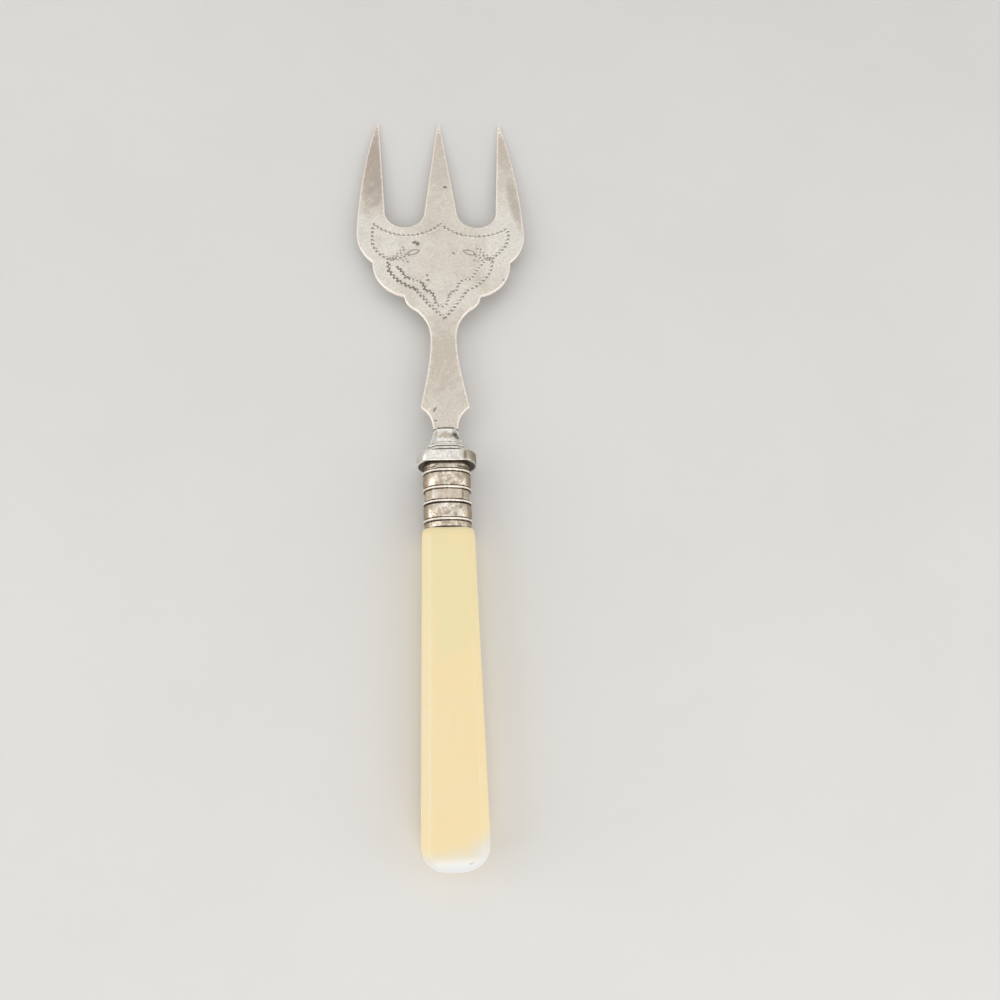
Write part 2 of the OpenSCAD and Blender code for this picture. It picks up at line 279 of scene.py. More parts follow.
class SurfaceEffects:
    """Shader groups that several finishes share, each built once."""

    def __init__(self) -> None:
        """Builds the groups."""
        self.mottle = self._mottle()
        self.specks = self._specks()
        self.hairlines = self._hairlines()
        self.soft_spot = self._soft_spot()
        self.wear_and_highlight = self._broken_edge()

    @staticmethod
    def _open(name: str, values: dict[str, float], vectors: tuple[str, ...] = ()) -> NodeGroup:
        """Opens a group that reads a place and gives one mask.

        Args:
            name: Name of the group.
            values: First value of each further input that is a number.
            vectors: Further inputs that are vectors.

        Returns:
            The group.
        """
        inputs: Inputs = {label: ("Vector", None) for label in ("Vector", *vectors)}
        inputs.update({label: ("Float", value) for label, value in values.items()})
        return NodeGroup(name, "ShaderNodeTree", inputs, ("Mask", "Float"))

    def _mottle(self) -> bpy.types.NodeTree:
        """Draws cloudy patches between two levels of a noise.

        Returns:
            The group's tree.
        """
        group = self._open("cloudy_mottle", {"Scale": 300.0, "Detail": 5.0, "Low": 0.4, "High": 0.65})
        given = group.given
        noise = group.noise(given["Vector"], given["Scale"], given["Detail"], 0.62, 0.4)
        return group.close(group.ramp(noise, given["Low"], given["High"]))

    def _specks(self) -> bpy.types.NodeTree:
        """Draws small round specks in a share of the cells of a pattern.

        Returns:
            The group's tree.
        """
        group = self._open("scattered_specks", {"Scale": 1500.0, "Size": 0.35, "Share": 0.2})
        given = group.given
        bend = group.add("ShaderNodeTexNoise", {
            "Vector": given["Vector"], "Scale": given["Scale"], "Detail": 2.0})
        shift = group.vector("SCALE", bend.outputs["Color"], scale=group.math("DIVIDE", 0.6, given["Scale"]))
        cells = group.add("ShaderNodeTexVoronoi", {
            "Vector": group.vector("ADD", given["Vector"], shift), "Scale": given["Scale"]})
        speck = group.ramp(cells.outputs["Distance"], given["Size"], group.times(given["Size"], 0.35))
        chance = group.result("ShaderNodeSeparateColor", {0: cells.outputs["Color"]})
        return group.close(group.times(speck, group.math("LESS_THAN", chance, given["Share"])))

    def _hairlines(self) -> bpy.types.NodeTree:
        """Draws fine scratches along one direction, in places.

        Returns:
            The group's tree.
        """
        group = self._open("fine_hairlines", {"Turn": 0.0, "Scale": 900.0, "Stretch": 0.05, "Share": 0.5})
        given = group.given
        turned = group.result("ShaderNodeVectorRotate", {"Vector": given["Vector"], "Angle": given["Turn"]})
        drawn = group.vector("MULTIPLY", turned, group.join(1.0, given["Stretch"], 0.3))
        off = group.math("ABSOLUTE", group.minus(group.noise(drawn, given["Scale"], 1.0), 0.5))
        line = group.ramp(off, 0.018, 0.0)
        top = group.minus(0.75, group.times(given["Share"], 0.5))
        gate = group.ramp(group.noise(given["Vector"], 220.0, 2.0), top, group.plus(top, 0.08))
        return group.close(group.times(line, gate))

    def _soft_spot(self) -> bpy.types.NodeTree:
        """Draws one soft oval spot with a ragged rim, seen along Z.

        Returns:
            The group's tree.
        """
        group = self._open("soft_spot", {"Turn": 0.0, "Ragged": 0.4, "Grain": 600.0}, ("Centre", "Reach"))
        given = group.given
        shift = group.vector("SUBTRACT", given["Vector"], given["Centre"])
        back = group.times(given["Turn"], -1.0)
        turned = group.result("ShaderNodeVectorRotate", {"Vector": shift, "Angle": back})
        far = group.vector("LENGTH", group.vector("DIVIDE", turned, given["Reach"]))
        noise = group.noise(given["Vector"], given["Grain"], 4.0)
        wander = group.times(group.minus(noise, 0.5), given["Ragged"])
        return group.close(group.ramp(group.plus(far, group.times(wander, 2.0)), 1.0, 0.3))

    def _broken_edge(self) -> bpy.types.NodeTree:
        """Draws worn edges with a painted highlight, broken up by a noise; the same easing breaks up the
        darkened hollows and painted shade.

        Returns:
            The group's tree.
        """
        group = self._open("rubbed_edge", {"Edge": 0.0, "Breakup": 0.5, "Scale": 900.0})
        given = group.given
        noise = group.noise(given["Vector"], given["Scale"], 3.0)
        wander = group.times(group.minus(noise, 0.5), given["Breakup"])
        return group.close(group.ramp(group.plus(given["Edge"], wander), 0.25, 0.85))


@dataclass(frozen=True)
class Spot:
    """A soft oval mark on a surface, seen from above: its middle, half sizes, turn and strength."""

    x: float
    y: float
    half_x: float
    half_y: float
    turn_deg: float = 0.0
    strength: float = 1.0
    ragged: float = 0.4
    grain: float = 600.0


class FinishSheet(NodeSheet):
    """A material's nodes, with the shared effects at hand."""

    def __init__(self, name: str, effects: SurfaceEffects) -> None:
        """Starts a material.

        Args:
            name: Name of the material.
            effects: The shared groups.
        """
        self.material = bpy.data.materials.new(name)
        self.material.use_nodes = True
        super().__init__(self.material.node_tree)
        self.effects = effects
        self.shader = self.tree.nodes["Principled BSDF"]
        self.at = self.add("ShaderNodeTexCoord").outputs["Object"]

    def effect(self, group: bpy.types.NodeTree, inputs: dict[str, Any]) -> Socket:
        """Places a shared group and returns its mask."""
        return self.add("ShaderNodeGroup", {"Vector": self.at, **inputs}, node_tree=group).outputs["Mask"]

    def patches(self, scale: float, low: float, high: float, detail: float = 5.0) -> Socket:
        """Places cloudy patches between two levels of a noise."""
        return self.effect(self.effects.mottle, {"Scale": scale, "Detail": detail, "Low": low, "High": high})

    def attribute(self, name: str) -> Socket:
        """Reads a value that the mesh carries."""
        return self.add("ShaderNodeAttribute", attribute_name=name).outputs["Fac"]

    def facing(self, axis: str) -> Socket:
        """Reads how far the surface faces along one axis."""
        return self.parts(self.add("ShaderNodeNewGeometry").outputs["Normal"])[axis]

    def spots(self, marks: tuple[Spot, ...]) -> Socket | float:
        """Lays several soft spots over one another.

        Args:
            marks: The spots.

        Returns:
            The strongest mask at each point.
        """
        total: Socket | float = 0.0
        for mark in marks:
            mask = self.effect(self.effects.soft_spot, {
                "Centre": (mark.x * MM, mark.y * MM, 0.0), "Reach": (mark.half_x * MM, mark.half_y * MM, 1.0),
                "Turn": math.radians(mark.turn_deg), "Ragged": mark.ragged, "Grain": mark.grain})
            total = self.larger(self.times(mask, mark.strength), total)
        return total

    def bump(self, height: Socket, depth: float) -> Socket:
        """Makes a fine relief of a given depth in millimetres."""
        inputs = {"Height": height, "Strength": 1.0, "Distance": depth * MM}
        return self.add("ShaderNodeBump", inputs).outputs["Normal"]


# Finishes


@dataclass(frozen=True)
class Finish:
    """A finish that becomes one material."""

    name: str

    def material(self, effects: SurfaceEffects) -> bpy.types.Material:
        """Builds the finish.

        Args:
            effects: The shared groups.

        Returns:
            The material.
        """
        sheet = FinishSheet(self.name, effects)
        sheet.feed(sheet.shader, self.draw(sheet))
        return sheet.material

    def draw(self, sheet: FinishSheet) -> dict[str, Any]:
        """Draws the nodes and returns what the shader's inputs get."""
        raise NotImplementedError


@dataclass(frozen=True)
class SilverPlate(Finish):
    """Old silver plate: a clean colour, cloudy tarnish, specks, dark grooves and worn edges with a painted
    highlight, plus painted shade and highlight spots where a finish lists them.
    """

    clean: Colour
    tarnish_and_shade: Colour
    dark: Colour
    wear_and_highlight: Colour
    metallic: float = 1.0
    wear_and_highlight_metallic: float = 0.35
    roughness: float = 0.36
    dull_roughness: float = 0.5
    patch_scale: float = 180.0
    patch_low: float = 0.42
    patch_high: float = 0.72
    patch_strength: float = 0.6
    even_share: float = 0.7
    even_patch: float = 0.6
    fine_scale: float = 1700.0
    fine_strength: float = 0.25
    speck_share: float = 0.1
    speck_strength: float = 0.5
    hair_strength: float = 0.35
    # Darkening of surfaces that face left and right, painted shade.
    side_shade: float = 0.0
    relief: float = 0.012
    # Listed spots of tarnish, marks and pale tone; finishes also use them for painted shade and highlights.
    smudges_and_shade: tuple[Spot, ...] = ()
    stains_and_shade: tuple[Spot, ...] = ()
    cool: Colour = (0.635, 0.615, 0.56)
    cool_tone_and_highlight_spots: tuple[Spot, ...] = ()

    def draw(self, sheet: FinishSheet) -> dict[str, Any]:
        """Draws the tarnish, the marks, the painted shade and highlights, and the worn edges.

        Args:
            sheet: Where the nodes go.

        Returns:
            What the shader's inputs get.
        """
        effects = sheet.effects
        even = sheet.attribute("even")
        patches = sheet.patches(self.patch_scale, self.patch_low, self.patch_high, 6.0)
        patches = sheet.times(patches, self.patch_strength)
        patches = sheet.ramp(sheet.times(even, self.even_share), 0.0, 1.0, patches, self.even_patch)
        # Tarnish patches and smudge spots, some of them painted shade; surfaces that face left and right can
        # darken too, painted shade for dark reflections at the sides.
        sides = sheet.ramp(sheet.math("ABSOLUTE", sheet.facing("X")), 0.45, 0.8)
        tarnish_and_shade = sheet.larger(patches, sheet.spots(self.smudges_and_shade))
        tarnish_and_shade = sheet.larger(tarnish_and_shade, sheet.times(sides, self.side_shade))
        fine = sheet.patches(self.fine_scale, 0.42, 0.62, 3.0)
        fine = sheet.times(fine, sheet.ramp(even, 0.0, 1.0, 1.0, 0.35))
        specks = sheet.effect(effects.specks, {"Scale": 2300.0, "Size": 0.4, "Share": self.speck_share})
        hairs = sheet.effect(effects.hairlines, {"Turn": 0.5, "Scale": 1500.0, "Share": 0.55})
        # Worn edges and crests, with a painted highlight.
        rub = sheet.effect(effects.wear_and_highlight, {"Edge": sheet.attribute("rub"), "Breakup": 0.5})
        # Tarnish in hollows, and the painted shade that the mesh carries.
        grime = sheet.effect(effects.wear_and_highlight, {
            "Edge": sheet.attribute("grime"), "Breakup": 0.7, "Scale": 1300.0})
        # Marks and specks; some of the listed marks are painted shade.
        stain_and_shade = sheet.larger(sheet.spots(self.stains_and_shade), sheet.times(specks, self.speck_strength))
        rough = sheet.ramp(sheet.larger(tarnish_and_shade, stain_and_shade), 0.0, 1.0, self.roughness, self.dull_roughness)
        grain = sheet.minus(sheet.times(fine, 0.3), specks)
        return {
            "Base Color": sheet.coats(
                self.clean, (sheet.spots(self.cool_tone_and_highlight_spots), self.cool), (tarnish_and_shade, self.tarnish_and_shade),
                (sheet.times(fine, self.fine_strength), self.tarnish_and_shade),
                (sheet.times(hairs, self.hair_strength), self.wear_and_highlight), (rub, self.wear_and_highlight),
                (sheet.larger(stain_and_shade, grime), self.dark)),
            "Roughness": sheet.plus(rough, sheet.times(fine, 0.05)),
            "Metallic": sheet.ramp(rub, 0.0, 1.0, self.metallic, self.wear_and_highlight_metallic),
            "Normal": sheet.bump(sheet.minus(grain, sheet.times(hairs, 0.4)), self.relief)}


@dataclass(frozen=True)
class EngravedCut(Finish):
    """The walls of an engraved stroke: some with a painted highlight where they face the tines, dark or grimy
    elsewhere.
    """

    shine: float
    bright: Colour
    dark: Colour
    grimy: Colour
    grime_spots: tuple[Spot, ...]

    def draw(self, sheet: FinishSheet) -> dict[str, Any]:
        """Draws the grime and the bright walls.

        Args:
            sheet: Where the nodes go.

        Returns:
            What the shader's inputs get.
        """
        patches = sheet.patches(700.0, 0.35, 0.65)
        grime = sheet.larger(sheet.spots(self.grime_spots), sheet.times(patches, 0.35))
        clear = sheet.times(sheet.ramp(grime, 0.85, 0.45), self.shine)
        # Walls that face the tines get a painted highlight where they are clear.
        lit = sheet.times(sheet.ramp(sheet.facing("Y"), -0.3, 0.0), clear)
        return {
            "Base Color": sheet.coats(self.dark, (grime, self.grimy), (lit, self.bright)),
            "Roughness": sheet.ramp(grime, 0.0, 1.0, 0.28, 0.5),
            "Metallic": sheet.minus(1.0, lit)}


@dataclass(frozen=True)
class CreamHandle(Finish):
    """Polished cream handle with faint cloudy colour, a greener top, fine handling scratches, and painted
    highlights on the butt, the left side, the left arris and the shoulder.
    """

    cream: Colour
    cloudy: Colour
    green: Colour
    pale: Colour
    wear_and_highlight: Colour
    scuff: Colour
    green_spots: tuple[Spot, ...]
    highlight_spots: tuple[Spot, ...]
    scuff_spots: tuple[Spot, ...]
    roughness: float = 0.28
    speck_strength: float = 0.06
    streak_strength: float = 0.04
    relief: float = 0.004

    def draw(self, sheet: FinishSheet) -> dict[str, Any]:
        """Draws the clouds, the painted highlights and the scratches.

        Args:
            sheet: Where the nodes go.

        Returns:
            What the shader's inputs get.
        """
        effects = sheet.effects
        clouds = sheet.patches(130.0, 0.38, 0.7, 4.0)
        fine = sheet.patches(900.0, 0.4, 0.68, 3.0)
        streaks = sheet.effect(effects.hairlines, {
            "Turn": 0.02, "Scale": 1100.0, "Stretch": 0.02, "Share": 0.7})
        specks = sheet.effect(effects.specks, {"Scale": 900.0, "Size": 0.3, "Share": 0.07})
        # Painted highlight along the left arris and the shoulder.
        rub = sheet.effect(effects.wear_and_highlight, {"Edge": sheet.attribute("rub"), "Breakup": 0.3})
        # Pale painted highlight on faces that look up: a glare over the butt's bullnose and a lighter left
        # side.
        upper = sheet.ramp(sheet.facing("Z"), -0.05, 0.3)
        pale = sheet.math("MULTIPLY", sheet.spots(self.highlight_spots), upper, clamp=True)
        lines = sheet.times(streaks, self.streak_strength)
        marks = sheet.larger(sheet.times(specks, self.speck_strength), lines)
        return {
            "Base Color": sheet.coats(
                self.cream, (sheet.times(clouds, 0.6), self.cloudy),
                (sheet.spots(self.green_spots), self.green), (sheet.times(fine, 0.12), self.cloudy),
                (pale, self.pale), (rub, self.wear_and_highlight),
                (sheet.larger(marks, sheet.spots(self.scuff_spots)), self.scuff)),
            "Roughness": sheet.ramp(
                sheet.larger(fine, streaks), 0.0, 1.0, self.roughness, self.roughness + 0.1),
            "IOR": 1.5, "Subsurface Weight": 0.12, "Subsurface Radius": (1.0, 0.7, 0.35),
            "Subsurface Scale": 0.0012,
            "Normal": sheet.bump(sheet.minus(sheet.times(fine, 0.3), streaks), self.relief)}


@dataclass(frozen=True)
class HiddenFinish(Finish):
    """Plain working finish of a piece inside the handle: two mottled colours with a grain."""

    colour: Colour
    patch: Colour
    metallic: float
    roughness: float
    grain_scale: float

    def draw(self, sheet: FinishSheet) -> dict[str, Any]:
        """Draws the two colours and the grain.

        Args:
            sheet: Where the nodes go.

        Returns:
            What the shader's inputs get.
        """
        patches = sheet.patches(400.0, 0.4, 0.65)
        grain = sheet.effect(sheet.effects.specks, {"Scale": self.grain_scale, "Size": 0.5, "Share": 0.6})
        return {
            "Base Color": sheet.coats(self.colour, (patches, self.patch)),
            "Roughness": sheet.ramp(patches, 0.0, 1.0, self.roughness, self.roughness + 0.15),
            "Metallic": self.metallic, "Normal": sheet.bump(grain, 0.03)}


@dataclass(frozen=True)
class PaleFloor(Finish):
    """Plain pale floor with a trace of unevenness."""

    colour: Colour
    uneven: Colour

    def draw(self, sheet: FinishSheet) -> dict[str, Any]:
        """Draws the two shades and returns what the shader's inputs get."""
        shades = sheet.coats(self.colour, (sheet.patches(12.0, 0.3, 0.7), self.uneven))
        return {"Base Color": shades, "Roughness": 0.9, "Specular IOR Level": 0.1}


# Mesh helpers


def new_object(name: str, points: np.ndarray, faces: list, edges: list | None = None) -> bpy.types.Object:
    """Makes a mesh object at the origin and links it to the scene.

    Args:
        name: Name of the piece.
        points: Its points in millimetres.
        faces: Its faces, as point numbers.
        edges: Its loose edges, if it is a line.

    Returns:
        The object, in metres.
    """
    mesh = bpy.data.meshes.new(name)
    mesh.from_pydata((np.asarray(points, float) * MM).tolist(), edges or [], faces)
    mesh.update()
    piece = bpy.data.objects.new(name, mesh)
    bpy.context.scene.collection.objects.link(piece)
    return piece


def closed_line(name: str, outline: np.ndarray) -> bpy.types.Object:
    """Makes a closed line on the plane of X and Y, as loose edges.

    Args:
        name: Name of the line.
        outline: Its points in millimetres.

    Returns:
        The object, in metres.
    """
    count = len(outline)
    points = np.column_stack([outline, np.zeros(count)])
    return new_object(name, points, [], [(i, (i + 1) % count) for i in range(count)])


def set_attribute(piece: bpy.types.Object, name: str, values: np.ndarray) -> None:
    """Stores one value per point on a mesh."""
    attribute = piece.data.attributes.new(name, "FLOAT", "POINT")
    attribute.data.foreach_set("value", np.asarray(values, np.float32))


def point_outwards(piece: bpy.types.Object) -> None:
    """Turns the faces of a closed body outwards.

    Args:
        piece: The piece.
    """
    body = bmesh.new()
    body.from_mesh(piece.data)
    bmesh.ops.recalc_face_normals(body, faces=body.faces)
    body.to_mesh(piece.data)
    body.free()


def settle(piece: bpy.types.Object) -> None:
    """Turns a piece's modifiers into a plain mesh.

    Args:
        piece: The piece.
    """
    graph = bpy.context.evaluated_depsgraph_get()
    solid = piece.evaluated_get(graph)
    mesh = bpy.data.meshes.new_from_object(solid, preserve_all_data_layers=True, depsgraph=graph)
    piece.modifiers.clear()
    old = piece.data
    piece.data = mesh
    mesh.name = piece.name
    bpy.data.meshes.remove(old)


def carve(piece: bpy.types.Object, tool: bpy.types.Object, carving: Carving) -> None:
    """Joins a second body to a piece or cuts it out, and removes that body.

    Args:
        piece: The piece that stays.
        tool: The second body.
        carving: What the second body does.
    """
    modifier = piece.modifiers.new("carve", "BOOLEAN")
    modifier.operation = carving.value
    modifier.solver = "EXACT"
    modifier.object = tool
    settle(piece)
    bpy.data.objects.remove(tool)


def shade(piece: bpy.types.Object, sharp_deg: float) -> None:
    """Shades a piece smooth, apart from sharp edges.

    Args:
        piece: The piece.
        sharp_deg: Angle from which an edge stays sharp.
    """
    body = bmesh.new()
    body.from_mesh(piece.data)
    limit = math.radians(sharp_deg)
    for face in body.faces:
        face.smooth = True
    for edge in body.edges:
        edge.smooth = len(edge.link_faces) == 2 and edge.calc_face_angle(0.0) < limit
    body.to_mesh(piece.data)
    body.free()


def soft_eight(width: float, thickness: float, cut: float, soft: float, corner_steps: int = 5,
               flat_steps: int = 6) -> np.ndarray:
    """Eight-sided outline with rounded corners, across X and Z.

    Args:
        width: Size across X.
        thickness: Size across Z.
        cut: Corner cut.
        soft: Rounding of the eight corners.
        corner_steps: Steps round each corner.
        flat_steps: Steps along each flat.

    Returns:
        The points in order.
    """
    a, b = width / 2, thickness / 2
    corners = [(a, b - cut), (a - cut, b), (cut - a, b), (-a, b - cut),
               (-a, cut - b), (cut - a, -b), (a - cut, -b), (a, cut - b)]
    rounded = []
    for k, corner in enumerate(corners):
        middle = math.radians(45 * k + 22.5)
        back = soft / math.cos(math.radians(22.5))
        centre = np.array(corner) - back * np.array([math.cos(middle), math.sin(middle)])
        angles = np.radians(45 * k + 45 * np.arange(corner_steps + 1) / corner_steps)
        rounded.append(centre + soft * np.column_stack([np.cos(angles), np.sin(angles)]))
    points = []
    for k, arc in enumerate(rounded):
        after = rounded[(k + 1) % 8][0]
        points.extend(arc)
        points.extend(arc[-1] + (after - arc[-1]) * i / flat_steps for i in range(1, flat_steps))
    return np.array(points)


def corner_share(corner: int, corner_steps: int = 5, flat_steps: int = 6) -> np.ndarray:
    """Says which points of a soft_eight outline lie on one rounded corner.

    Args:
        corner: Number of the corner.
        corner_steps: Steps round each corner.
        flat_steps: Steps along each flat.

    Returns:
        1 for each point on the corner and 0 elsewhere.
    """
    share = np.zeros((8, corner_steps + flat_steps))
    share[corner, :corner_steps + 1] = 1.0
    return share.ravel()


def oval_on(outline: np.ndarray, width: float, thickness: float, squareness: float) -> np.ndarray:
    """Superellipse whose points lie at the same angles as those of an outline.

    Args:
        outline: Points that give the angles.
        width: Size across X.
        thickness: Size across Z.
        squareness: 2 is an ellipse, more is squarer.

    Returns:
        The points in order.
    """
    ways = outline / np.linalg.norm(outline, axis=1)[:, None]
    halves = np.array([width, thickness]) / 2
    reach = np.sum((np.abs(ways) / halves) ** squareness, axis=1)
    return ways * (reach ** (-1 / squareness))[:, None]


@dataclass
class Ring:
    """One cross-section of a skinned body, with its share of worn edge and painted highlight, and its share
    of dark tarnish and painted shade.
    """

    y: float
    outline: np.ndarray
    rub: float | np.ndarray = 0.0
    grime: float | np.ndarray = 0.0


def skin(name: str, rings: list[Ring], axis_z: float) -> bpy.types.Object:
    """Skins a closed body over rings of equal length.

    Args:
        name: Name of the piece.
        rings: The cross-sections in order along Y.
        axis_z: Height of the axis that the outlines are centred on.

    Returns:
        The body, with both shares, wear with painted highlight and tarnish with painted shade, stored on its
        points.
    """
    count = len(rings[0].outline)
    points = np.concatenate([
        np.column_stack([r.outline[:, 0], np.full(count, r.y), r.outline[:, 1] + axis_z]) for r in rings])
    faces: list[list[int]] = [list(range(count)), list(range(len(points) - count, len(points)))]
    for k in range(len(rings) - 1):
        for i in range(count):
            a, b = k * count + i, k * count + (i + 1) % count
            faces.append([a, b, b + count, a + count])
    piece = new_object(name, points, faces)
    set_attribute(piece, "rub", np.concatenate([np.broadcast_to(r.rub, count) for r in rings]))
    set_attribute(piece, "grime", np.concatenate([np.broadcast_to(r.grime, count) for r in rings]))
    point_outwards(piece)
    return piece


def prism(name: str, span: tuple[float, float], outline: np.ndarray, axis_z: float) -> bpy.types.Object:
    """Straight body along Y with one outline.

    Args:
        name: Name of the body.
        span: Where it starts and ends.
        outline: Its cross-section.
        axis_z: Height of its axis.

    Returns:
        The body.
    """
    return skin(name, [Ring(y, outline) for y in span], axis_z)


def circle(width: float, steps: int = 48) -> np.ndarray:
    """Round cross-section of a bore or socket."""
    angles = np.linspace(0, 2 * math.pi, steps, endpoint=False)
    return np.column_stack([np.cos(angles), np.sin(angles)]) * width / 2


def oblong(width: float, thickness: float) -> np.ndarray:
    """Square-edged cross-section of a tenon or slot."""
    a, b = width / 2, thickness / 2
    return np.array([(a, -b), (a, b), (-a, b), (-a, -b)])


def solid_span(node: str) -> tuple[float, float, float]:
    """Lower end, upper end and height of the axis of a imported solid."""
    low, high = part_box(node)
    return low.y / MM, high.y / MM, (low.z + high.z) / 2 / MM


def arc_points(start: Place, end: Place, bulge: float, step: float) -> np.ndarray:
    """Points of an arc that bulges to the left of its way by a given height.

    Args:
        start: Where it starts.
        end: Where it ends.
        bulge: Height of the arc over its chord, negative to the right.
        step: Distance between points.

    Returns:
        The points, without the last.
    """
    first, last = np.array(start), np.array(end)
    half = np.linalg.norm(last - first) / 2
    way = (last - first) / (2 * half)
    left = np.array([-way[1], way[0]])
    share = np.linspace(-1, 1, max(int(2 * half / step), 2) + 1)[:-1]
    if abs(bulge) < 1e-6:
        return (first + last) / 2 + np.outer(share * half, way)
    swing = 2 * math.atan(bulge / half)
    along = half * np.sin(share * swing) / math.sin(swing)
    rise = half * (np.cos(share * swing) - math.cos(swing)) / math.sin(swing)
    return (first + last) / 2 + np.outer(along, way) + np.outer(rise, left)


def present(piece: bpy.types.Object, node: str) -> None:
    """Hands a finished piece to the frame in place of its solid.

    Args:
        piece: The finished piece.
        node: The solid that it stands for.
    """
    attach(piece, BODY)
    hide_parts(node)
    log.info("%s: %d faces, stands for %s", piece.name, len(piece.data.polygons), node)


# Blade


@dataclass(frozen=True)
class EngravedLine:
    """A cut line on the palm: a start, then the end and bulge of each arc, across X and above the foot."""

    start: Place
    runs: tuple[tuple[float, float, float], ...]
    bold: float = 1.0

    def points(self, step: float = 0.1) -> np.ndarray:
        """Follows the arcs from the start to the last end.

        Args:
            step: Distance between points.

        Returns:
            The points in plan.
        """
        here = self.start
        parts = []
        for x, y, bulge in self.runs:
            parts.append(arc_points(here, (x, y), bulge, step))
            here = (x, y)
        return np.concatenate([*parts, np.array([here])])

    def mirrored(self) -> "EngravedLine":
        """The same line on the other half of the palm."""
        runs = tuple((-x, y, -bulge) for x, y, bulge in self.runs)
        return EngravedLine((-self.start[0], self.start[1]), runs, self.bold)


@dataclass(frozen=True)
class StrokeStyle:
    """How one kind of engraved line is cut: sizes, lean, shift to the sides, share of strokes with a painted
    highlight, and seed.
    """

    name: str
    pitch: float
    length: float
    width: float
    depth: float
    lean_deg: float
    across: float
    bright: float
    seed: int


@dataclass(frozen=True)
class BladeFinishes:
    """Finishes of the plate's face, of the dark engraved strokes and of the strokes with a painted highlight.
    """

    face: bpy.types.Material
    cut: bpy.types.Material
    bright: bpy.types.Material


